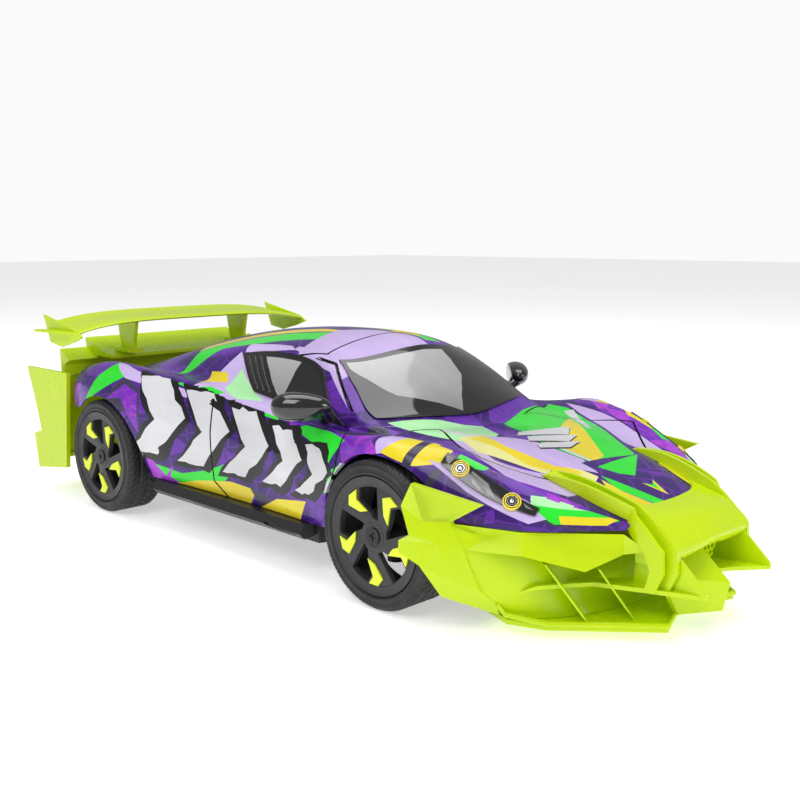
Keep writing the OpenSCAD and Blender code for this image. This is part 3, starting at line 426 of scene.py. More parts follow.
SPINE_LINE = [(-178, 0, 75), (-156, 0, 81), (-119, 0, 93), (-75, 0, 105), (-27, 0, 112), (14, 0, 114),
              (41, 0, 113), (61, 0, 109.5), (85, 0, 91), (105, 0, 73), (119, 0, 71.5), (146, 0, 72),
              (170, 0, 67), (190, 0, 61), (216, 0, 51)]
LINES = [SHOULDER_LINE, CREST_LINE, VALLEY_LINE, RAIL_LINE, SPINE_LINE]
CREASE = [0.8, 0.8, 0.7, 0.7, 1]
TAIL_X = SPINE_LINE[0][0]
NOSE_X = SPINE_LINE[-1][0]


def cubic(p0, p1, m0, m1, s):
    """Cubic from p0 to p1 with the end slopes m0 and m1."""
    s2, s3 = s * s, s * s * s
    return (2 * s3 - 3 * s2 + 1) * p0 + (s3 - 2 * s2 + s) * m0 + (3 * s2 - 2 * s3) * p1 + (s3 - s2) * m1


def on_line(line, x):
    """Smooth value of a feature line at x, as y or as y and z."""
    last = len(line) - 2
    i = max([k for k in range(last + 1) if line[k][0] <= x], default=0)

    def slope(k):
        a, b = line[max(k - 1, 0)], line[min(k + 1, last + 1)]
        return [(q - p) / (b[0] - a[0]) for p, q in zip(a[1:], b[1:])]
    h = line[i + 1][0] - line[i][0]
    s = (x - line[i][0]) / h
    return [cubic(p0, p1, m0 * h, m1 * h, s)
            for p0, p1, m0, m1 in zip(line[i][1:], line[i + 1][1:], slope(i), slope(i + 1))]


def arch_h(d):
    """Height of a wheel arch at distance d from the axle."""
    if abs(d) >= ARCH_HALF_W:
        return 0
    return AXLE_Z + (TYRE_R + ARCH_GAP) * math.sqrt(1 - (d / ARCH_HALF_W) ** 2)


def edge_h(x):
    """Height of the lower edge of the shell."""
    plain = NOSE_EDGE_H if x > HALF_BASE else TAIL_EDGE_H if x < -HALF_BASE else SILL_H
    return max(plain, arch_h(x - HALF_BASE), arch_h(x + HALF_BASE))


def side_y(x, h):
    """Half-width of the side at height h: a parabola through sill, door line and shoulder."""
    y0, y1 = on_line(SILL_LINE, x)[0], on_line(DOOR_LINE, x)[0]
    y2, top = on_line(SHOULDER_LINE, x)
    a, b, u = DOOR_H - SILL_H, max(top, DOOR_H + 6) - SILL_H, h - SILL_H
    return y0 + u * ((y1 - y0) / a * (b - u) + (y2 - y0) / b * (u - a)) / (b - a)


_sections = {}


def section(x):
    """Places of the feature lines at x, and of the door line below and the far rail beyond them."""
    key = round(x, 4)
    if key not in _sections:
        rows = [Vector((0, side_y(x, DOOR_H), DOOR_H))]
        rows += [Vector((0, *on_line(line, x))) for line in LINES]
        rows.append(Vector((0, -rows[4].y, rows[4].z)))
        _sections[key] = rows
    return _sections[key]


def half_skin(x, v):
    """Point of the left half: v = 0 at the lower edge, 1 at the shoulder and 5 at the spine."""
    rows = section(x)
    if v <= 1:
        e = edge_h(x)
        h = e + v * (rows[1].z - e)
        return Vector((x, side_y(x, h), h))
    k = min(int(v), 4)
    p0, p1 = rows[k], rows[k + 1]
    m0 = CREASE[k - 1] * (p1 - rows[k - 1]) / 2
    m1 = CREASE[k] * (rows[k + 2] - p0) / 2
    made = cubic(p0, p1, m0, m1, v - k)
    made.x = x
    return made


def skin_normal(x, v):
    """Unit normal of the left half, pointing out of the car."""
    dx, dv = 1.0, 0.05
    a = half_skin(min(x + dx, NOSE_X), v) - half_skin(max(x - dx, TAIL_X), v)
    b = half_skin(x, min(v + dv, 5)) - half_skin(x, max(v - dv, 0))
    return b.cross(a).normalized()


def skin(x, w, d=0.0):
    """Point of the whole surface, d above it, and its normal. w runs from -5 (right edge) to 5."""
    v = 5 - abs(w)
    n = skin_normal(x, v)
    p = half_skin(x, v) + n * d
    if abs(w) < 1e-6:
        p.y, n.y = 0, 0
    if w < 0:
        p.y, n.y = -p.y, -n.y
    p.x += MID_X
    return p, n


def skin_grid(xs, ws):
    """Grid of the body surface that keeps its own x and w in two layers."""
    bm = bmesh.new()
    lx, lw = bm.verts.layers.float.new("px"), bm.verts.layers.float.new("pw")
    rows = []
    for x in xs:
        row = []
        for w in ws:
            vert = bm.verts.new(skin(x, w)[0])
            vert[lx], vert[lw] = x, w
            row.append(vert)
        rows.append(row)
    for r0, r1 in zip(rows, rows[1:]):
        for j in range(len(ws) - 1):
            bm.faces.new((r0[j], r1[j], r1[j + 1], r0[j + 1]))
    return bm


def face_w(face):
    lw = face_w.layer
    return sum(v[lw] for v in face.verts) / len(face.verts)


def side_faces(face):
    """Faces of the sides, below the crest lines."""
    return abs(face_w(face)) > 2.95


def cabin_faces(face):
    """Faces of the cabin sides."""
    return 0.9 < abs(face_w(face)) < 3.05


def top_faces(face):
    """Faces of hood, roof and tail."""
    return abs(face_w(face)) < 3.05


VIEWS = {"side": ((0, 2), side_faces), "cabin": ((0, 2), cabin_faces), "top": ((0, 1), top_faces)}


def thicken(bm, low, high, depth_of=None):
    """Turns a painted skin grid into a closed sheet between two heights above the surface."""
    lx, lw = bm.verts.layers.float["px"], bm.verts.layers.float["pw"]
    bmesh.ops.triangulate(bm, faces=bm.faces[:])
    faces, mats = [], []
    bm.verts.index_update()
    count = len(bm.verts)
    outer, inner = [], []
    for vert in bm.verts:
        sunk = depth_of(vert) if depth_of else 0.0
        outer.append(skin(vert[lx], vert[lw], high - sunk)[0])
        inner.append(skin(vert[lx], vert[lw], low)[0])
    for face in bm.faces:
        ids = [v.index for v in face.verts]
        faces.append(ids)
        mats.append(face.material_index)
    for face in bm.faces:
        ids = [v.index + count for v in reversed(face.verts)]
        faces.append(ids)
        mats.append(face.material_index)
    for edge in bm.edges:
        if len(edge.link_faces) == 1:
            loop = edge.link_loops[0]
            a, b = loop.vert.index, loop.link_loop_next.vert.index
            faces.append([b, a, a + count, b + count])
            mats.append(edge.link_faces[0].material_index)
    mesh = bpy.data.meshes.new("sheet")
    mesh.from_pydata(outer + inner, [], faces)
    mesh.polygons.foreach_set("material_index", mats)
    bm.free()
    return mesh


def stations(step):
    """Stations along the body: even ones, and closer ones over the wheel arches."""
    turns = [math.cos(math.radians(a)) for a in range(180, -1, -6)]
    arches = [s + ARCH_HALF_W * 0.999 * c for s in (-HALF_BASE, HALF_BASE) for c in turns]
    arches += [s + (ARCH_HALF_W + 0.4) * side for s in (-HALF_BASE, HALF_BASE) for side in (-1, 1)]
    count = round((NOSE_X - TAIL_X) / step)
    even = [TAIL_X + (NOSE_X - TAIL_X) * i / count for i in range(count + 1)]
    kept = [x for x in even if all(abs(x - a) > step * 0.45 for a in arches)]
    return sorted(kept + arches)


# Livery, back to front: (view, colour, outline). The outline is in the frame, as (x, z) seen from the
# side, on both sides of the car, or as (x, y) seen from above.
LIVERY = [
    ("side", "slate", [(-128, 70), (-112, 84), (-96, 78), (-92, 50), (-99, 62)]),
    ("side", "violet", [(-126, 70), (-110, 80), (-97, 76), (-94, 52), (-112, 72)]),
    ("side", "green", [(-154, 64), (-140, 82), (-125, 93), (-113, 84), (-142, 70)]),
    ("side", "magenta", [(-186, 58), (-170, 74), (-160, 76), (-172, 60)]),
    ("side", "lavender", [(-134, 92), (-115, 89), (-82, 84), (-50, 80), (-58, 77), (-82, 80), (-112, 83)]),
    ("side", "green", [(-91, 37), (-62, 34), (-40, 39), (-4, 52), (-24, 36), (-52, 26), (-92, 26)]),
    ("side", "magenta", [(-92, 44), (-78, 30), (-68, 38), (-74, 30), (-60, 26), (-92, 26)]),
    ("side", "yellow", [(-74, 26), (-48, 32), (-20, 36), (2, 35), (-4, 26)]),
    ("side", "slate", [(-4, 36), (22, 32), (34, 26), (6, 26)]),
    ("side", "yellow", [(4, 26), (20, 34), (46, 38), (38, 26)]),
    ("side", "purple", [(38, 26), (46, 38), (62, 48), (70, 38), (64, 26)]),
    ("side", "violet", [(26, 84), (78, 84), (104, 72), (76, 62), (66, 71), (44, 74), (26, 72)]),
    ("side", "lavender", [(96, 82), (119, 84), (124, 76), (102, 71)]),
    ("side", "yellow", [(104, 72), (114, 82), (130, 80), (134, 70), (120, 68)]),
    ("side", "slate", [(118, 82), (122, 82), (120, 66), (116, 68)]),
    ("side", "green", [(30, 71), (44, 75), (70, 71), (64, 60), (54, 65)]),
    ("side", "green", [(48, 44), (62, 55), (76, 62), (66, 46)]),
    ("side", "white", [(66, 46), (78, 62), (74, 62), (60, 46)]),
    ("side", "yellow", [(60, 46), (56, 58), (64, 58), (62, 50)]),
    ("side", "lavender", [(-42, 82), (-20, 78), (20, 75), (24, 79), (-2, 84), (-38, 86)]),
    ("side", "green", [(-70, 84), (-40, 86), (-30, 83), (-52, 81)]),
    ("side", "yellow", [(-41, 83), (-30, 81), (-32, 78), (-42, 80)]),
    ("side", "green", [(0, 76), (16, 74.5), (17, 73), (1, 74.5)]),
    ("side", "slate", [(132, 72), (150, 66), (176, 52), (190, 47), (136, 47), (128, 62)]),
    ("side", "purple", [(134, 68), (150, 62), (178, 50), (188, 47), (138, 47), (131, 60)]),
    ("side", "green", [(136, 74), (150, 70), (148, 68), (136, 70)]),
    ("side", "lavender", [(126, 71), (150, 66), (180, 53), (172, 50), (146, 60)]),
    ("side", "green", [(170, 57), (192, 55), (196, 50), (180, 50)]),
    ("side", "mint", [(168, 60), (190, 56), (186, 54), (170, 57)]),
    ("side", "yellow", [(180, 53), (196, 51), (194, 49), (182, 50)]),
    ("cabin", "lavender",
     [(-38, 102), (-24, 95), (-16, 88), (5, 81), (22, 76), (15, 72), (-60, 78), (-50, 90)]),
    ("cabin", "mint", [(-30, 94), (-24, 90), (-14, 84), (-2, 80), (-20, 80), (-36, 84)]),
    ("cabin", "green", [(-60, 82), (-44, 84), (-30, 82), (-44, 79), (-60, 79)]),
    ("cabin", "yellow", [(-58, 90), (-42, 91), (-38, 86), (-56, 85)]),
    ("cabin", "lavender",
     [(-40, 107), (8, 108), (36, 102), (62, 84), (58, 82), (30, 100), (4, 106), (-34, 102)]),
    ("cabin", "purple", [(20, 104), (36, 102), (62, 84), (60, 80), (40, 97)]),
    ("top", "green", [(-150, 78), (-108, 76), (-104, 64), (-140, 66)]),
    ("top", "lavender", [(-132, 76), (-112, 76), (-80, 78), (-84, 68), (-120, 70)]),
    ("top", "green",
     [(-92, 60), (-60, 48), (-30, 44), (10, 30), (40, 24), (42, 10), (0, 14), (-50, 24), (-88, 44)]),
    ("top", "yellow", [(-88, 44), (-50, 24), (0, 14), (30, 10), (-4, 8), (-56, 18), (-90, 36)]),
    ("top", "green",
     [(-92, -60), (-60, -48), (-30, -44), (0, -34), (26, -22), (20, -12), (-30, -26), (-86, -46)]),
    ("top", "yellow", [(-88, -46), (-50, -30), (-12, -18), (20, -12), (-16, -10), (-56, -20), (-90, -38)]),
    ("top", "purple", [(-10, 30), (14, 14), (30, 30), (20, 44), (-16, 48)]),
    ("top", "yellow", [(6, 22), (20, 6), (34, 14), (22, 26)]),
    ("top", "violet", [(-170, 30), (-140, 12), (-150, 0), (-180, 10)]),
    ("top", "lavender", [(8, -50), (-4, -12), (14, 2), (28, 6), (56, 8), (56, -8), (47, -40), (44, -52)]),
    ("top", "slate", [(60, -72), (90, -74), (92, -58), (78, -56)]),
    ("top", "lavender",
     [(76, -58), (92, -33), (112, -45), (140, -62), (158, -62), (176, -46), (176, -34), (168, -30),
                         (140, -50), (112, -36), (92, -30)]),
    ("top", "mint", [(76, -52), (84, -24), (94, -4), (116, -18), (128, -40), (108, -42)]),
    ("top", "white", [(90, -34), (116, -24), (140, -38), (120, -30), (98, -36)]),
    ("top", "cream", [(108, -38), (114, -24), (132, -29), (172, -18), (177, -30), (150, -40), (128, -48)]),
    ("top", "yellow", [(112, -36), (116, -27), (132, -32), (166, -22), (168, -27), (148, -38)]),
    ("top", "lavender", [(114, -28), (134, -16), (158, -10), (170, -15), (156, -28), (132, -33)]),
    ("top", "green", [(84, 64), (100, 60), (162, 26), (172, 9), (166, -8), (138, -14), (98, 8), (88, 36)]),
    ("top", "yellow", [(112, 44), (160, 4), (162, -6), (140, -10)]),
    ("top", "white", [(100, 56), (132, 30), (134, 32), (104, 59)]),
    ("top", "white", [(138, -12), (165, -8), (166, -6), (138, -9)]),
    ("top", "purple",
     [(160, -14), (164, 24), (176, 46), (200, 36), (206, 18), (204, -24), (190, -24), (176, -14)]),
    ("top", "green", [(166, -10), (164, 26), (178, 2), (174, -5)]),
    ("top", "yellow", [(183, -1), (194, 4), (183, 8), (187, 3.5)]),
    ("top", "green", [(184, 0.5), (190, 3.5), (184, 6.5), (186, 3.5)]),
    ("top", "green", [(172, -16), (196, -4), (196, -11), (182, -19)]),
    ("top", "yellow", [(174, -19), (184, -18), (196, -12), (198, -24), (184, -26)]),
    ("top", "lavender", [(94, 66), (120, 60), (168, 47), (172, 40), (150, 36), (110, 56)]),
    ("top", "yellow", [(164, 48), (190, 41), (198, 26), (174, 28)]),
    ("top", "violet", [(94, 82), (124, 82), (166, 66), (186, 52), (160, 50), (118, 62)]),
    ("top", "yellow", [(120, 78), (140, 72), (150, 62), (134, 64)]),
    ("top", "green", [(140, 72), (164, 62), (158, 58), (150, 62)]),
    ("top", "slate", [(142, -84), (188, -60), (190, -54), (140, -70)]),
    ("top", "purple", [(134, -70), (170, -60), (204, -40), (200, -58), (160, -84)]),
    ("top", "violet", [(146, -66), (172, -58), (196, -44), (182, -46), (160, -60)]),
    ("top", "green", [(170, -70), (192, -58), (196, -50), (176, -58)]),
]

# Hood crest: a burst of plain shards, (x, y) seen from above
CREST_SHARDS = [
    [(118, -6), (124, -14), (136, 10), (128, 22)],
    [(128, -12), (133, -17), (142, 2), (138, 14)],
    [(137, -17), (141, -19), (147, -4), (144, 8)],
]
SEAMS = [
    ("side", [(-36, 78), (-34, 34), (-22, 26)]),
    ("side", [(66, 84), (70, 60), (64, 40), (66, 26)]),
    ("cabin", [(22, 103), (34, 101), (60, 82)]),
    ("top", [(84, -62), (92, -33), (114, -46), (140, -60), (172, -30), (200, -22)]),
    ("top", [(84, 62), (92, 33), (114, 46), (140, 60), (172, 30), (200, 22)]),
    ("top", [(6, -52), (24, -44), (24, 44), (6, 52)]),
    ("top", [(-132, -66), (-128, -30), (-128, 30), (-132, 66)]),
]
SEAM_HALF_W = 0.55
SEAM_DEPTH = 0.9


def brush_slash(start, end, width, seed):
    """Outline of one dry-brush slash from start to end, ragged at both ends."""
    rng = random.Random(seed)
    a, b = Vector(start), Vector(end)
    along = (b - a).normalized()
    across = Vector((-along.y, along.x))
    half = width / 2
    tips = [(-1.0, 0.0), (-0.62, -0.16), (-0.3, 0.05), (0.05, -0.12), (0.4, 0.08), (0.72, -0.08),
            (1.0, 0.1)]
    low = [a + across * (s * half) + along * (t * width + rng.uniform(-1, 1)) for s, t in tips]
    high = [b + across * (s * half * 0.8) + along * (-t * width * 1.3 + rng.uniform(-2, 2)) for s,
            t in reversed(tips)]
    side = [a.lerp(b, t) + across * half * (0.94 + rng.uniform(-0.05, 0.05)) for t in (0.3, 0.62)]
    other = [a.lerp(b, t) - across * half * (0.94 + rng.uniform(-0.05, 0.05)) for t in (0.66, 0.34)]
    return [tuple(p) for p in low + side + high + other]


# Door graphic: brush-painted chevrons, as (rear x, middle height, height, stroke width, reach) seen from
# the side, each over a wider black one, with a few loose strokes
CHEVRONS = [(-99, 64, 43, 24, 19), (-59, 61, 40, 22, 17), (-21, 58, 35, 19, 15), (13, 55.5, 29, 16, 13),
            (42, 53.5, 23, 12, 10)]
OUTLINE_W = 4.5
STROKES = [((-78, 45), (-66, 52), 4), ((-38, 77), (-27, 73), 3.5), ((-2, 42), (8, 47), 3.5),
           ((34, 66), (43, 63), 3)]


def chevron(x, z, height, width, reach, grow=0.0):
    """Outline of a forward-pointing chevron, made wider all round by grow."""
    half = height / 2 + grow * 0.7
    back, front_end = x - grow, x + width + grow
    return [(back, z + half), (front_end, z + half), (front_end + reach, z + 2), (front_end - 5, z - half),
            (back - 5, z - half), (back + reach, z - 1)]


def ragged(outline, seed, size, pieces=3):
    """Outline with its sides broken up a little, like paint from a dry brush."""
    rng = random.Random(seed)
    made = []
    for a, b in zip(outline, outline[1:] + outline[:1]):
        a, b = Vector(a), Vector(b)
        across = Vector((a.y - b.y, b.x - a.x)).normalized()
        made.append(tuple(a))
        for k in range(1, pieces):
            t = (k + rng.uniform(-0.3, 0.3)) / pieces
            made.append(tuple(a.lerp(b, t) + across * rng.uniform(-size, size)))
    return made


def door_graphic():
    """Black and white rows of the door graphic, as livery rows."""
    rows = [("side", "black", ragged(chevron(*c, grow=OUTLINE_W), i, 1.6, 4)) for i,
            c in enumerate(CHEVRONS)]
    rows += [("side", "white", ragged(chevron(*c), i + 20, 1.1, 4)) for i, c in enumerate(CHEVRONS)]
    rows += [("side", "black", brush_slash(a, b, width, i)) for i, (a, b, width) in enumerate(STROKES)]
    return rows


def near_segment(p, a, b):
    """Distance from a point to a segment."""
    ab, ap = b - a, p - a
    t = max(0.0, min(1.0, ap.dot(ab) / max(ab.dot(ab), 1e-9)))
    return (ap - ab * t).length


def cut_seam(bm, view, line, hits):
    """Cuts a groove's two edges and its middle into the mesh, and notes the corners on its middle."""
    axes, accept = VIEWS[view]
    for a, b in zip(line, line[1:]):
        a, b = Vector(a), Vector(b)
        along = (b - a).normalized()
        across = Vector((-along.y, along.x)) * SEAM_HALF_W
        strip = [tuple(a - across), tuple(a + across), tuple(b + across), tuple(b - across)]
        faces = faces_in_box(bm, strip, axes, accept, 0.1)
        faces = [f for f in faces
                 if near_segment(Vector((f.calc_center_median()[axes[0]],
                                         f.calc_center_median()[axes[1]])), a, b) < 7]
        geom = geometry_of(faces)
        for shift in (-1, 0, 1):
            geom = cut_line(bm, geom, tuple(a + across * shift), tuple(b + across * shift), axes)
        for g in geom:
            if isinstance(g, bmesh.types.BMFace) and accept(g):
                m = g.calc_center_median()
                if near_segment(Vector((m[axes[0]], m[axes[1]])), a, b) < SEAM_HALF_W * 1.02:
                    g.material_index = PRINT_ORDER.index("black")
            if isinstance(g, bmesh.types.BMVert):
                if near_segment(Vector((g.co[axes[0]], g.co[axes[1]])), a, b) < SEAM_HALF_W * 0.3:
                    g[hits] = 1.0


def body_shell():
    """Printed shell with its livery and panel grooves; its inside faces take the print of the faces above
    them.
    """
    bm = skin_grid(stations(4.5), [w / 8 for w in range(-40, 41)])
    hits = bm.verts.layers.float.new("groove")
    face_w.layer = bm.verts.layers.float["pw"]
    crest = [("top", "black", [(x + 1.2, y - 1.2) for x, y in o]) for o in CREST_SHARDS]
    crest += [("top", "white", o) for o in CREST_SHARDS]
    for view, colour, outline in LIVERY + door_graphic() + crest:
        axes, accept = VIEWS[view]
        paint(bm, list(outline), axes, accept, PRINT_ORDER.index(colour))
    for view, line in SEAMS:
        cut_seam(bm, view, line, hits)
    bmesh.ops.remove_doubles(bm, verts=bm.verts, dist=0.01)

    def sunk(vert):
        return SEAM_DEPTH if vert[hits] > 0.6 else 0.0
    mesh = thicken(bm, -SHELL_T, 0.0, sunk)
    return finish_object("printed_shell", mesh, [PRINTS[c] for c in PRINT_ORDER], replaces=["body_shell"],
                         angle=50)


# ---------------------------------------------------------------- windows and lamps


def panel(name, corner_place, paints, count, height, mats, replaces, mirror=False):
    """Curved panel on the body: a unit square cut by outlines, laid on the surface and given thickness."""
    bm = bmesh.new()
    nx, ny = count
    grid = [[bm.verts.new((i / nx, j / ny, 0)) for j in range(ny + 1)] for i in range(nx + 1)]
    for i in range(nx):
        for j in range(ny):
            bm.faces.new((grid[i][j], grid[i + 1][j], grid[i + 1][j + 1], grid[i][j + 1]))
    for outline, index in paints:
        paint(bm, list(outline), (0, 1), lambda f: True, index)
    lx, lw = bm.verts.layers.float.new("px"), bm.verts.layers.float.new("pw")
    for vert in bm.verts:
        x, w = corner_place(vert.co.x, vert.co.y)
        vert[lx], vert[lw] = x, -w if mirror else w
    mesh = thicken(bm, height[0], height[1])
    if mirror:
        mesh.flip_normals()
    return bevel(finish_object(name, mesh, mats, replaces=replaces), 0.3)


def windscreen_place(u, s):
    w = 2 * s - 1
    return (64 - 14 * w * w) * (1 - u) + (101 - 13 * w * w) * u, w * 0.93


def between_corners(corners, u, s):
    """Place between four corners given as rear low, front low, rear high and front high."""
    low = [corners[0][i] * (1 - u) + corners[1][i] * u for i in (0, 1)]
    high = [corners[2][i] * (1 - u) + corners[3][i] * u for i in (0, 1)]
    return high[0] * (1 - s) + low[0] * s, high[1] * (1 - s) + low[1] * s


def side_window_place(u, s):
    x, w = between_corners([(4, 1.95), (78, 1.95), (-18, 1.12), (50, 1.12)], u, s)
    return x - 3 * (1 - s) * u * u, w + 0.12 * (1 - s) * (2 * u - 1) ** 2


def lamp_place(u, s):
    x, w = between_corners([(148, 3.52), (190, 3.86), (148, 3.18), (190, 3.56)], u, s)
    return x, w + 0.1 * (s - 0.5) * (1 - (2 * u - 1) ** 2)


def windows():
    """Dark printed windows with a black surround and a pale painted highlight."""
    mats = [MATS["frame"], MATS["glass"], MATS["sheen"]]
    pane = [(0.06, 0.04), (0.97, 0.03), (0.97, 0.97), (0.06, 0.96)]
    sheen = [(0.07, 0.05), (0.22, 0.05), (0.62, 0.2), (0.95, 0.44), (0.50, 0.60), (0.10, 0.62)]
    panel("windscreen_pane", windscreen_place, [(pane, 1), (sheen, 2)], (22, 26), (0.1, 0.9), mats,
          ["windscreen"])
    pane = [(0.27, 0.1), (0.78, 0.1), (0.88, 0.24), (0.95, 0.9), (0.32, 0.9)]
    sheen = [(0.29, 0.6), (0.28, 0.14), (0.68, 0.14), (0.6, 0.3), (0.36, 0.86), (0.31, 0.86)]
    for side, mirror in (("left", False), ("right", True)):
        panel("window_pane_" + side, side_window_place, [(pane, 1), (sheen, 2)], (20, 12), (0.1, 0.9), mats,
              ["side_window_" + side], mirror)
        for k, u in enumerate((0.05, 0.12, 0.19)):
            louvre("window_louvre_%s_%d" % (side, k), u, mirror)


def louvre(name, u, mirror):
    """Raised black blade across the rear end of a side window."""
    def place(a, s):
        return side_window_place(u + 0.035 * a + 0.02 * s, 0.12 + 0.72 * s)
    panel(name, place, [], (2, 8), (0.8, 1.9), [MATS["gloss_black"]], [], mirror)


def lamps():
    """Dark lamp strips, each with two ringed lenses."""
    for side, mirror in (("left", False), ("right", True)):
        strokes = [[(0.3, 0.2), (0.5, 0.3), (0.62, 0.8), (0.55, 0.85), (0.46, 0.45), (0.3, 0.35)],
                   [(0.34, 0.55), (0.44, 0.7), (0.5, 0.92), (0.36, 0.8)], [(0.86, 0.2), (0.97, 0.45),
                                                                           (0.9, 0.5)],
                   [(0.02, 0.25), (0.1, 0.2), (0.08, 0.7), (0.03, 0.6)]]
        panel("lamp_strip_" + side, lamp_place, [(o, 1) for o in strokes], (16, 5), (0.1, 0.9),
              [MATS["gloss_black"], MATS["sheen"]], ["headlight_" + side], mirror)
        for k, u in enumerate((0.2, 0.77)):
            x, w = lamp_place(u, 0.5)
            p, n = skin(x, -w if mirror else w, 0.5)
            lens("lamp_lens_%s_%d" % (side, k), p, n)


def lens(name, centre, normal):
    """Domed lens with raised rings, on the given place and facing along normal."""
    profile = [(0, 1.7), (0.6, 1.6), (1.0, 1.2), (1.15, 0.8), (1.5, 0.8), (1.6, 1.1), (1.9, 1.1),
               (2.0, 0.8),
               (2.3, 0.8), (2.4, 1.0), (2.9, 1.0), (3.0, 0.75), (3.2, 0.75), (3.3, 0.95), (3.8,
                                                                                           0.9), (4.0, 0.3),
               (4.0, -0.4), (0, -0.4)]
    bm = bmesh.new()
    spin(bm, profile, 40)
    for face in bm.faces:
        r = sum(v.co.xy.length for v in face.verts) / len(face.verts)
        face.material_index = 0 if r < 0.95 or 1.5 < r < 1.95 else 1 if 2.35 < r < 2.95 or r > 3.25 else 2
    turn = normal.to_track_quat("Z", "Y").to_matrix().to_4x4()
    bm.transform(turn)
    bmesh.ops.translate(bm, verts=bm.verts, vec=centre)
    bm_object(name, bm, [MATS["lamp_chrome"], MATS["lamp_yellow"], MATS["gloss_black"]])


def spin(bm, profile, count, wobble=None):
    """Lathe: profile rows of (radius, z) turned round the z axis. Rows with radius 0 become one corner."""
    rings = []
    for r, z in profile:
        if r == 0:
            rings.append([bm.verts.new((0, 0, z))])
            continue
        ring = []
        for i in range(count):
            a = 2 * math.pi * i / count
            k = wobble(r, z, a) if wobble else 0
            ring.append(bm.verts.new(((r + k) * math.cos(a), (r + k) * math.sin(a), z)))
        rings.append(ring)
    for a, b in zip(rings, rings[1:]):
        for i in range(count):
            k = (i + 1) % count
            if len(a) == 1 and len(b) == 1:
                continue
            if len(a) == 1:
                bm.faces.new((a[0], b[i], b[k]))
            elif len(b) == 1:
                bm.faces.new((a[i], b[0], a[k]))
            else:
                bm.faces.new((a[i], b[i], b[k], a[k]))


MIRROR_AT = (MID_X + 64, 81.5, 85)
MIRROR_HALF = (14.5, 7.2, 6.9)
MIRROR_TURN = -42          # the outer end is swept back


def mirrors():
    """Glossy door mirrors: a teardrop pod with a cut-off back, on a short stalk."""
    centre = Vector(MIRROR_AT)
    half = Vector(MIRROR_HALF)
    turn = Matrix.Rotation(math.radians(MIRROR_TURN), 4, "Z")
    for side, s in (("left", 1), ("right", -1)):
        bm = bmesh.new()
        rows, around = 18, 36
        rings = []
        for i in range(rows + 1):
            t = math.pi * i / rows
            x = math.cos(t)
            r = math.sin(t) ** 0.85 * (1 - 0.16 * x)
            ring = []
            for j in range(around):
                a = 2 * math.pi * j / around
                y = math.copysign(abs(math.cos(a)) ** 0.92, math.cos(a))
                z = math.copysign(abs(math.sin(a)) ** 0.95, math.sin(a))
                ring.append(bm.verts.new((x * half.x, y * r * half.y, z * r * half.z)))
            rings.append(ring)
        for a, b in zip(rings, rings[1:]):
            for j in range(around):
                k = (j + 1) % around
                bm.faces.new((a[j], b[j], b[k], a[k]))
        bmesh.ops.remove_doubles(bm, verts=bm.verts, dist=0.01)
        for vert in bm.verts:
            if vert.co.y < -half.y * 0.62:
                vert.co.y = -half.y * 0.62 + (vert.co.y + half.y * 0.62) * 0.15
        bm.transform(turn)
        bmesh.ops.translate(bm, verts=bm.verts, vec=centre)
        start, end = centre + Vector((6, -6, -1)), Vector((MID_X + 66, 68.5, 78.2))
        add_tube(bm, [start, start.lerp(end, 0.5) + Vector((0.5, 0, -0.8)), end], [4.4, 2.8, 3.6], 16)
        for vert in bm.verts:
            vert.co.y *= s
        bm_object("mirror_pod_" + side, bm, [MATS["gloss_black"]], replaces=["mirror_" + side])


def add_tube(bm, path, radii, around):
    """Adds a closed round tube along a path."""
    rings = []
    for i, p in enumerate(path):
        a, b = path[max(i - 1, 0)], path[min(i + 1, len(path) - 1)]
        turn = (b - a).to_track_quat("Z", "Y")
        ring = []
        for j in range(around):
            t = 2 * math.pi * j / around
            ring.append(bm.verts.new(p + turn @ Vector((radii[i] * math.cos(t), radii[i] * math.sin(t),
                                                        0))))
        rings.append(ring)
    for a, b in zip(rings, rings[1:]):
        for j in range(around):
            k = (j + 1) % around
            bm.faces.new((a[j], a[k], b[k], b[j]))
    bm.faces.new(list(reversed(rings[0])))
    bm.faces.new(rings[-1])


# ---------------------------------------------------------------- wheels

TREAD_STEPS = 288


def tread_depth(along, turn):
    """Depth of the tread grooves at a place across the tyre and round it."""
    if any(abs(along - groove) < 0.7 for groove in (7.5, 13, 18.5)):
        return 0.9
    slant = turn * 48 + (along - 13) * (0.24 if along > 13 else -0.24)
    return 0.7 if slant % 1.0 < 0.16 and 2.5 < along < TYRE_W - 2.5 else 0


def tyre(name, body, x, side):
    """Tyre with sidewall rings, rounded shoulders and cut tread blocks."""
    r0 = 27.15
    top = TYRE_R
    profile = [(r0, 1.4), (r0 + 0.5, 0.7), (r0 + 1.3, 0.45), (r0 + 2.2, 0.75), (top - 3.2, 0.75),
               (top - 2.4, 0.55),
               (top - 1.5, 0.95), (top - 0.75, 1.7), (top - 0.25, 2.7)]
    tread = [(top, 3.2 + i * 0.817) for i in range(25)]
    back = [(r, TYRE_W - z) for r, z in reversed(profile)]
    bm = bmesh.new()

    def wobble(r, z, a):
        turn = a / (2 * math.pi)
        if r >= top - 1e-6:
            return -tread_depth(z, turn)
        if r > top - 2 and (turn * 96) % 1 < 0.2:
            return -0.35
        return 0
    spin(bm, profile + tread + back + [profile[0]], TREAD_STEPS, wobble)
    bmesh.ops.remove_doubles(bm, verts=bm.verts, dist=0.001)
    seat_wheel(bm, x, side)
    return bm_object(name, bm, [MATS["tyre"]], body=body, replaces=[name.replace("tread_", "tyre_")],
                     angle=28)


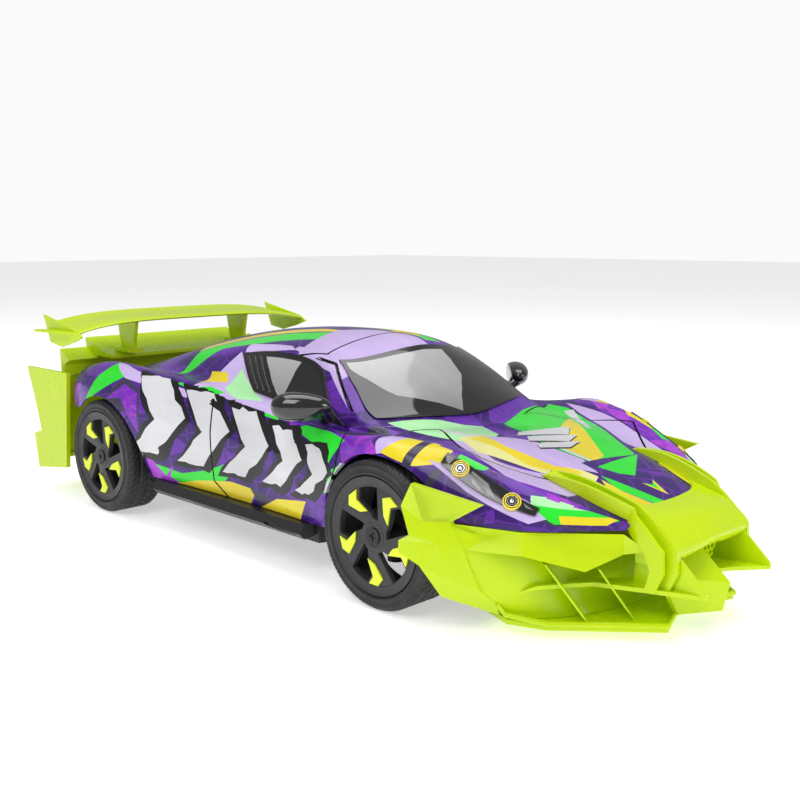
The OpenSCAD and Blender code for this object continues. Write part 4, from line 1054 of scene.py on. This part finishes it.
def seat_wheel(bm, x, side):
    """Moves a wheel part, drawn with its outer face at z = 0 and its axis on z, to its axle."""
    for vert in bm.verts:
        px, py, pz = vert.co
        vert.co = (x + px, side * (FACE_Y - pz), AXLE_Z + py)


def polar(rows):
    return [(r * math.cos(math.radians(a)), r * math.sin(math.radians(a))) for r, a in rows]


SPOKES = 5
WINDOW = [(7.8, 0), (8, 23), (10.6, 33), (17.4, 51), (22.2, 43), (22.4, 36), (22.4, 28), (22.4, 21),
          (22.2, 14)]
INSERT = [(11.4, 36), (12.6, 58), (19.3, 72), (22.3, 62), (22.2, 47), (18.4, 54)]


def curve_plate(loops, depth, edge):
    """Mesh of a flat plate with holes and rounded edges: the first loop is the outline."""
    curve = bpy.data.curves.new("plate", "CURVE")
    curve.dimensions = "2D"
    curve.fill_mode = "BOTH"
    curve.extrude = depth / 2 - edge
    curve.bevel_depth = edge
    curve.bevel_resolution = 2
    curve.offset = -edge
    for loop in loops:
        spline = curve.splines.new("POLY")
        spline.points.add(len(loop) - 1)
        for point, (x, y) in zip(spline.points, loop):
            point.co = (x, y, 0, 1)
        spline.use_cyclic_u = True
    holder = bpy.data.objects.new("plate", curve)
    bpy.context.scene.collection.objects.link(holder)
    bpy.context.view_layer.update()
    shown = holder.evaluated_get(bpy.context.evaluated_depsgraph_get())
    mesh = bpy.data.meshes.new_from_object(shown)
    bpy.data.objects.remove(holder)
    bpy.data.curves.remove(curve)
    bm = bmesh.new()
    bm.from_mesh(mesh)
    bpy.data.meshes.remove(mesh)
    bmesh.ops.remove_doubles(bm, verts=bm.verts, dist=0.002)
    return bm


def circle(r, count, reverse=False):
    points = [(r * math.cos(2 * math.pi * i / count),
               r * math.sin(2 * math.pi * i / count)) for i in range(count)]
    return points[::-1] if reverse else points


def turned(points, degrees):
    c, s = math.cos(math.radians(degrees)), math.sin(math.radians(degrees))
    return [(x * c - y * s, x * s + y * c) for x, y in points]


def rim(name, body, x, side, node, hub_l):
    """Rim: barrel with a stepped lip, a spoked face with five openings and a hub."""
    parts = bmesh.new()
    barrel = [(26.4, 0.75), (26.8, 0.6), (27, 1.0), (27, 3), (26, 4), (25.8, TYRE_W - 4),
              (26.9, TYRE_W - 3), (26.9, TYRE_W - 1.8), (25.0, TYRE_W - 1.8), (24.4, TYRE_W - 4), (24.2,
                                                                                                   4.4),
              (22.3, 3.2), (22.3, 1.7), (22.8, 1.3), (26.0, 1.0)]
    spin(parts, barrel + [barrel[0]], 96)
    hub = [(0, 3.1), (4.1, 3.1), (4.3, 1.9), (4.9, 1.3), (6.0, 1.3), (6.7, 2.1), (6.9, 3.0), (6.9, hub_l),
           (2.1, hub_l), (2.1, 3.6), (0, 3.6)]
    spin(parts, hub, 64)
    loops = [circle(22.6, 96)]
    for i in range(SPOKES):
        loops.append(turned(polar(WINDOW), i * 360 / SPOKES)[::-1])
    face = curve_plate(loops, 3.0, 0.3)
    bmesh.ops.translate(face, verts=face.verts, vec=(0, 0, 3.1))
    merge(parts, face)
    bmesh.ops.remove_doubles(parts, verts=parts.verts, dist=0.002)
    seat_wheel(parts, x, side)
    return bm_object(name, parts, [MATS["rim"]], body=body, replaces=[node], angle=32)


def merge(target, source):
    """Adds one mesh to another and frees it."""
    mesh = bpy.data.meshes.new("part")
    source.to_mesh(mesh)
    source.free()
    target.from_mesh(mesh)
    bpy.data.meshes.remove(mesh)


def inserts(name, body, places, node):
    """Neon chevrons, one beside each spoke."""
    parts = bmesh.new()
    for x, side in places:
        one = bmesh.new()
        for i in range(SPOKES):
            chevron = curve_plate([turned(polar(INSERT), i * 360 / SPOKES)], 1.0, 0.25)
            merge(one, chevron)
        bmesh.ops.translate(one, verts=one.verts, vec=(0, 0, 1.25))
        seat_wheel(one, x, side)
        merge(parts, one)
    return bm_object(name, parts, [MATS["insert"]], body=body, replaces=[node], angle=32)


def wheels():
    places = {"front": FRONT_X, "rear": REAR_X}
    for end, x in places.items():
        for side, s in (("left", 1), ("right", -1)):
            body = "wheel_front_" + side if end == "front" else "rear_axle"
            tag = "%s_%s" % (end, side)
            tyre("tread_" + tag, body, x, s)
            rim("wheel_rim_" + tag, body, x, s, "rim_" + tag, 7.6 if end == "front" else 10.6)
            if end == "front":
                inserts("chevrons_" + tag, body, [(x, s)], "rim_inserts_" + tag)
    inserts("chevrons_rear", "rear_axle", [(REAR_X, 1), (REAR_X, -1)], "rim_inserts_rear")


# ---------------------------------------------------------------- front aero kit


def front(points):
    return [(p[0] + FRONT_X, p[1], p[2]) for p in points]


def cheek(bm):
    """Outer cheek: upper facet, swept edge with its rear-pointing blade, and lower facet to the splitter."""
    p = front([
        (24.5, 88, 62.5), (62, 87, 59.5), (43, 84, 48.5), (50, 83, 37), (55, 79, 21), (57, 70, 13.5), (55,
                                                                                                       66, 7),
        (40, 86, 16.5), (36, 95, 31), (28, 99, 36), (28, 99, 41), (30.5, 95.5, 43), (25.5, 95, 54.5), (35,
                92, 49),
        (41, 89.5, 40), (46, 87, 25),
    ])
    faces = [[0, 12, 13], [0, 13, 2, 1], [12, 11, 13], [11, 14, 13], [13, 14, 3, 2], [11, 10, 14],
             [10, 9, 14],
             [9, 8, 14], [8, 15, 14], [14, 15, 4, 3], [8, 7, 15], [7, 5, 4, 15], [7, 6, 5]]
    add_facets(bm, p, faces, (-0.4, -2.6, 0))


def brow(bm):
    """Brow over the intake: a sunk rear facet, a pale wedge and a broad front facet with a tooth."""
    p = front([
        (41.6, 82.9, 47.6), (68, 69.5, 46.4), (98, 40, 45.6), (105, 32, 38), (97, 38, 36.5), (90, 55, 31.5),
        (72, 73, 38), (48.6, 82.2, 37.6), (56, 74, 43.5),
    ])
    faces = [[0, 1, 8], [1, 6, 8], [6, 7, 8], [7, 0, 8], [1, 5, 6], [1, 2, 4, 5], [2, 3, 4]]
    add_facets(bm, p, faces, (-4, -2.4, -1))


# Where the hood ribs start and end on the skin, from the middle of the wheelbase
RIB_START_X = 174
RIB_END_X = 214
RIB_H = 6
RIB_STEPS = 14


def hood_rib(bm, y, w_rear, w_nose, back):
    """Blade that runs forward over the hood, from one strip of the skin to another, and down the nose."""
    top, foot = [], []
    for i in range(RIB_STEPS + 1):
        t = i / RIB_STEPS
        w = w_rear + (w_nose - w_rear) * t
        x = RIB_START_X + (RIB_END_X - RIB_START_X) * t
        top.append(skin(x, w, 0.2 + RIB_H * (1 - (1 - t) ** 3))[0])
        foot.append(skin(x, w, 0.15)[0])
    nose_top = [(104, 52.5), (109, 48), (114, 43), (117, 40), (117.5, 31), (113.5, 22)]
    nose_foot = [(99.5, 48), (101.5, 45), (105.5, 40.5), (108.5, 38), (111.5, 31), (109, 22)]
    top += [Vector((FRONT_X + a - back, y, z)) for a, z in nose_top]
    foot += [Vector((FRONT_X + a - back, y, z)) for a, z in nose_foot]
    sides = []
    for shift in (-1, 1):
        sides.append([[bm.verts.new(p + Vector((0, shift, 0))) for p in row] for row in (top, foot)])
    (a_top, a_foot), (b_top, b_foot) = sides
    rings = list(zip(a_top, a_foot, b_foot, b_top))
    for near, far in zip(rings, rings[1:]):
        for i in range(4):
            k = (i + 1) % 4
            bm.faces.new((near[i], near[k], far[k], far[i]))
    bm.faces.new(rings[0])
    bm.faces.new(rings[-1][::-1])


def rib_channel(bm):
    """Lime strip between the two ribs of one side, and down the nose to the brow."""
    rows = []
    for i in range(9):
        t = i / 8
        x = 176 + 38.5 * t
        rows.append([skin(x, w, 1.6 + 1.2 * t)[0] for w in (1.45 + 0.3 * t, 1.6 + 0.5 * t, 1.8 + 0.7 * t)])
    for x, z in ((101, 49), (106, 44), (108.5, 38), (108, 30), (105, 22)):
        rows.append([Vector((FRONT_X + x, y, z)) for y in (30, 32.2, 34.5)])
    smooth_sheet(bm, rows, 1, (-0.8, 0, -0.8))


def nose_lip(bm):
    """Lip between the ribs, rolled down at its front edge."""
    half = [[(106, 29.5, 50), (106.5, 22, 50.6), (107, 14, 51), (107.5, 0, 51.2)],
            [(112, 30.5, 45.5), (112.6, 22, 46), (113, 15, 46.2), (113.6, 0, 46.6)],
            [(116.6, 31, 40.6), (116.6, 24, 40.4), (116.8, 17, 40), (117.6, 0, 41)],
            [(116.2, 30, 37), (116, 23, 36.8), (116, 16, 36.8), (116.6, 0, 38)],
            [(113, 28.5, 35.6), (113, 22, 35.4), (113, 15, 35.4), (113, 0, 36.4)]]
    edge = [skin(x, w, 1.0)[0] for x, w in ((205, 1.62), (209.5, 1.25), (212.5, 0.7), (213.5, 0))]
    rows = [edge] + [[Vector(p) for p in front(row)] for row in half]
    full = [row + [Vector((p.x, -p.y, p.z)) for p in reversed(row[:-1])] for row in rows]
    smooth_sheet(bm, full, 3, (-1.2, 0, -1.2))


def snout(bm):
    """Wedge under the middle of the lip that points forward between the two tips of the mid blade."""
    rows = [(108, 0, 37.5), (125, 0, 22), (122, 0, 9), (103, 19, 24), (110, 15, 8), (103, -19, 24),
            (110, -15, 8)]
    faces = [[0, 1, 3], [1, 2, 4, 3], [0, 5, 1], [1, 5, 6, 2]]
    add_facets(bm, front(rows), faces, (-2, 0, -0.6))


def curve_at(points, t):
    """Place on a smooth curve through the points; t counts the points from 0."""
    i = min(int(t), len(points) - 2)
    s = t - i
    before, a, b, after = (points[max(i - 1, 0)], points[i], points[i + 1],
                           points[min(i + 2, len(points) - 1)])
    m0, m1 = (b - before) / 2, (after - a) / 2
    return (a * (2 * s ** 3 - 3 * s * s + 1) + m0 * (s ** 3 - 2 * s * s + s)
            + b * (3 * s * s - 2 * s ** 3) + m1 * (s ** 3 - s * s))


def smooth_sheet(bm, rows, steps, push):
    """Adds a closed smooth sheet through rows of places, with depth push behind it."""
    rows = [[Vector(p) for p in row] for row in rows]
    across = (len(rows[0]) - 1) * steps
    fine = [[curve_at(row, k / steps) for k in range(across + 1)] for row in rows]
    down = (len(rows) - 1) * steps
    grid = [[curve_at([row[k] for row in fine],
                      j / steps) for k in range(across + 1)] for j in range(down + 1)]
    points = [p for row in grid for p in row]
    n = across + 1
    faces = [[j * n + k, j * n + k + 1, (j + 1) * n + k + 1, (j + 1) * n + k]
             for j in range(down) for k in range(across)]
    add_facets(bm, points, faces, push)


def mid_blade(bm):
    """Blade across the intake, with two forward tips and ends that curve down to the bowl."""
    rows = [[(61, 66, 13), (64, 66, 19), (71, 62, 22.6), (80, 50, 23), (86, 42, 23), (106, 35, 23.4),
             (129.5, 28, 24),
             (117, 15, 23.4), (113.5, 9, 23.2), (121, 0, 23)],
            [(60, 62, 13), (61, 61, 18), (66, 57, 21.4), (72, 48, 22), (76, 40, 22), (84, 32, 22),
             (92, 24, 22),
             (94, 12, 22), (94, 6, 22), (94, 0, 22)]]
    for s in (1, -1):
        edge, root = [[Vector((x + FRONT_X, y * s, z)) for x, y, z in row] for row in rows]
        n = len(edge)
        faces = [[i, i + 1, n + i + 1, n + i] for i in range(n - 1)]
        add_facets(bm, edge + root, faces, (-0.6, 0, -1.9))


def bowl(bm):
    """Wall of the intake: it runs in from the cheek's edge and bulges forward in the middle."""
    rows = [
        [(44, 82.6, 46.5), (48.5, 82.6, 37), (53.5, 78.4, 21), (56.5, 69.4, 12.5), (61, 65.5, 7.4)],
        [(52, 77, 44), (57, 75, 36), (62, 70, 22), (65, 63, 13), (69, 58, 7.2)],
        [(60, 63, 43), (66, 60, 36), (71, 55, 23), (74, 50, 13), (77, 47, 7.2)],
        [(68, 40, 43), (73, 38, 36), (78, 36, 23), (80, 34, 13), (83, 33, 7.2)],
        [(74, 15, 43), (79, 15, 36), (82, 15, 23), (84, 15, 13), (87, 15, 7.2)],
        [(75, 0, 43), (80, 0, 36), (83, 0, 23), (85, 0, 13), (88, 0, 7.2)],
    ]
    smooth_sheet(bm, [front(row) for row in rows], 4, (-1.6, 0, 0))


def front_kit():
    """Front bumper of the aero kit, one moulding."""
    bm = bmesh.new()
    cheek(bm)
    brow(bm)
    hood_rib(bm, 30, 1.45, 1.75, 0)
    hood_rib(bm, 34.5, 1.8, 2.5, 4)
    bowl(bm)
    rib_channel(bm)
    add_mirrored(bm)
    nose_lip(bm)
    wall = [(-68, 9), (68, 9), (82, 20), (82, 41), (60, 46), (-60, 46), (-82, 41), (-82, 20)]
    add_prism(bm, wall, "x", FRONT_X + 42.1, FRONT_X + 44.6)
    mid_blade(bm)
    for s in (-1, 1):
        outline = [(96, 22), (98, 40), (108, 44), (115, 38.5), (129, 25), (129, 22.4)]
        y0, y1 = sorted((s * 27, s * 28.6))
        add_prism(bm, [(x + FRONT_X, z) for x, z in outline], "y", y0, y1)
    snout(bm)
    beam = [(42.1, -60), (72, -48), (101, -28), (101, 28), (72, 48), (42.1, 60)]
    add_prism(bm, [(x + FRONT_X, y) for x, y in beam], "z", 39, 41.5)
    add_prism(bm, [(x + FRONT_X, y) for x, y in ((98, -31), (104, -31), (104, 31), (98, 31))], "z", 32, 41)
    return bevel(bm_object("front_bumper_cover", bm, [MATS["lime"]], replaces=["front_bumper"], angle=20),
                 0.5)


def strake(bm, top, foot, run):
    """Thin fin from the brow to the splitter; run is how far it goes back and inwards."""
    rows = [top, foot, (foot[0] - run, foot[1] - run, foot[2]), (top[0] - run, top[1] - run, top[2])]
    add_facets(bm, front(rows), [[0, 1, 2, 3]], (-0.8, 0.8, 0))


def splitter():
    """Splitter plate with a rolled edge and four strakes."""
    bm = bmesh.new()
    strake(bm, (76, 62, 33), (89, 48, 6.5), 20)
    strake(bm, (90, 44, 30), (100, 31, 6.5), 20)
    half = [(57, 70, 13.5), (60, 68, 9), (76, 61, 7.5), (113, 28, 7.5), (103, 0, 7.5)]
    rolled = [Vector(p) for p in front(half)]
    add_tube(bm, rolled, [0.9, 1.2, 1.3, 1.3, 1.1], 10)
    add_mirrored(bm)
    half = [(46, 62), (60, 67), (76, 61), (113, 28), (102, 0)]
    outline = half + [(x, -y) for x, y in reversed(half[:-1])]
    add_prism(bm, [(x + FRONT_X, y) for x, y in outline], "z", 4.5, 6.9)
    return bevel(bm_object("splitter_plate", bm, [MATS["lime"]], replaces=["front_splitter"], angle=20),
                 0.4)


# ---------------------------------------------------------------- rear aero kit

WING_HALF_W = 87


def wing():
    """Rear wing: a cambered blade that droops towards its ends, with crossed end plates."""
    section_rows = [(0, 0), (0.8, 1.0), (3, 1.7), (8, 2.3), (14, 2.7), (21, 3.0), (28, 3.3), (34, 4.4),
                    (38, 5.6),
                    (38, 4.4), (34, 3.0), (28, 0.7), (21, -0.4), (14, -0.9), (8, -1.3), (3, -1.3), (0.8,
                                                                                                    -0.8)]
    bm = bmesh.new()
    count = 48
    rings = []
    for i in range(count + 1):
        y = WING_HALF_W * (2 * i / count - 1)
        z = 112.5 - 6 * (y / WING_HALF_W) ** 4
        rings.append([bm.verts.new((REAR_X - 18 - q[0], y, z + q[1] * 0.8)) for q in section_rows])
    for a, b in zip(rings, rings[1:]):
        for j in range(len(a)):
            k = (j + 1) % len(a)
            bm.faces.new((a[j], b[j], b[k], a[k]))
    bm.faces.new(rings[0])
    bm.faces.new(list(reversed(rings[-1])))
    blade = [(-14, 104.5), (-22, 108.5), (-62, 116), (-58, 108), (-54, 99), (-40, 97), (-24, 101)]
    flat = [(-18, WING_HALF_W - 2), (-30, WING_HALF_W + 7), (-58, WING_HALF_W + 9.5),
            (-54, WING_HALF_W - 2)]
    for s in (-1, 1):
        y0, y1 = sorted((s * (WING_HALF_W - 0.6), s * (WING_HALF_W + 1)))
        add_prism(bm, [(x + REAR_X, z) for x, z in blade], "y", y0, y1)
        add_prism(bm, [(x + REAR_X, s * y) for x, y in flat], "z", 106, 107.4)
    return bevel(bm_object("wing_blade", bm, [MATS["lime"]], replaces=["rear_wing"], angle=25), 0.35)


# ---------------------------------------------------------------- carried-over CAD nodes

CAD_LOOKS = {
    "lime": (["rear_bumper", "ducktail", "wing_stays", "grille_mesh"], 0.3),
    "trim": (["side_skirt_left", "side_skirt_right"], 0.3),
    "chassis": (["chassis_tub", "body_posts", "battery_door", "steering_servo", "gearbox_case",
                 "gearbox_cover",
                 "knuckle_left", "knuckle_right", "tie_rod", "power_switch_case", "antenna_wire"], 0.25),
    "rim_dark": (["wheel_screw_front_left", "wheel_screw_front_right", "rear_wheel_screws"], 0.12),
    "steel": (["body_screws", "battery_door_screw", "kingpins", "stub_axle_left", "stub_axle_right",
               "gearbox_screws", "idler_pin", "motor", "rear_axle"], 0.15),
    "brass": (["axle_bushes", "motor_pinion"], 0.08),
    "white": (["servo_horn", "idler_gear", "axle_gear", "power_switch_slider"], 0.1),
    "board": (["receiver_board"], 0.15),
    "battery": (["battery_pack"], 0.4),
    "red": (["motor_wires"], 0.05),
}


def dress_cad():
    """Gives every carried-over CAD node its material and softly rounded edges."""
    for key, (names, width) in CAD_LOOKS.items():
        for name in names:
            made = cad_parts[name]
            made.data.materials.clear()
            made.data.materials.append(MATS[key])
            bevel(made, width)


# ---------------------------------------------------------------- studio


def area_light(name, place, target, size, power):
    data = bpy.data.lights.new(name, "AREA")
    data.shape = "RECTANGLE"
    data.size, data.size_y = size
    data.energy = power
    made = bpy.data.objects.new(name, data)
    made.location = place
    made.rotation_euler = (Vector(target) - Vector(place)).to_track_quat("-Z", "Y").to_euler()
    bpy.context.scene.collection.objects.link(made)


# Light of the room on the car, and the brightness at which the camera sees the backdrop
ROOM_LIGHT = 0.36
BACKDROP = 0.96
FLOOR_GLOW = 0.5
CAMERA_LENS = 45.99
CAMERA_PLACE = (MID_X * MM + 0.4324, -0.3872, 0.1647)
CAMERA_AIM = (-0.6947, 0.7016, -0.1585)


def studio():
    """White sweep, soft lights and the camera of the product view."""
    scene = bpy.context.scene
    world = bpy.data.worlds.new("studio")
    world.use_nodes = True
    tree = world.node_tree
    seen = tree.nodes.new("ShaderNodeLightPath").outputs["Is Camera Ray"]
    strength = tree.nodes.new("ShaderNodeMapRange")
    strength.inputs["To Min"].default_value = ROOM_LIGHT
    strength.inputs["To Max"].default_value = BACKDROP
    tree.links.new(seen, strength.inputs["Value"])
    tree.nodes["Background"].inputs["Color"].default_value = (1, 1, 1, 1)
    tree.links.new(strength.outputs[0], tree.nodes["Background"].inputs["Strength"])
    scene.world = world
    bm = bmesh.new()
    bmesh.ops.create_grid(bm, x_segments=8, y_segments=8, size=6)
    mesh = bpy.data.meshes.new("floor")
    bm.to_mesh(mesh)
    bm.free()
    floor = bpy.data.objects.new("floor", mesh)
    scene.collection.objects.link(floor)
    n = Nodes("floor")
    shade = n.mix(n.spread(n.noise(3), 0, 1), (0.86, 0.86, 0.86), (0.9, 0.9, 0.9))
    mesh.materials.append(n.finish(shade, 0.6, n.noise(400), 0.02, Emission_Color=(1, 1, 1, 1),
                                   Emission_Strength=FLOOR_GLOW))
    area_light("key", (0.35, -1.1, 1.2), (0, 0, 0.05), (0.8, 0.8), 9)
    area_light("top", (-0.1, 0.1, 1.5), (0, 0, 0), (1.4, 1.0), 13)
    area_light("nose", (1.4, 0.3, 0.6), (0.1, 0, 0.05), (0.6, 0.6), 5)
    camera_data = bpy.data.cameras.new("camera")
    camera_data.lens = CAMERA_LENS
    camera = bpy.data.objects.new("camera", camera_data)
    camera.location = CAMERA_PLACE
    camera.rotation_euler = Vector(CAMERA_AIM).to_track_quat("-Z", "Y").to_euler()
    scene.collection.objects.link(camera)
    scene.camera = camera
    scene.view_settings.view_transform = "Standard"


body_shell()
windows()
lamps()
mirrors()
wheels()
front_kit()
splitter()
wing()
dress_cad()
studio()
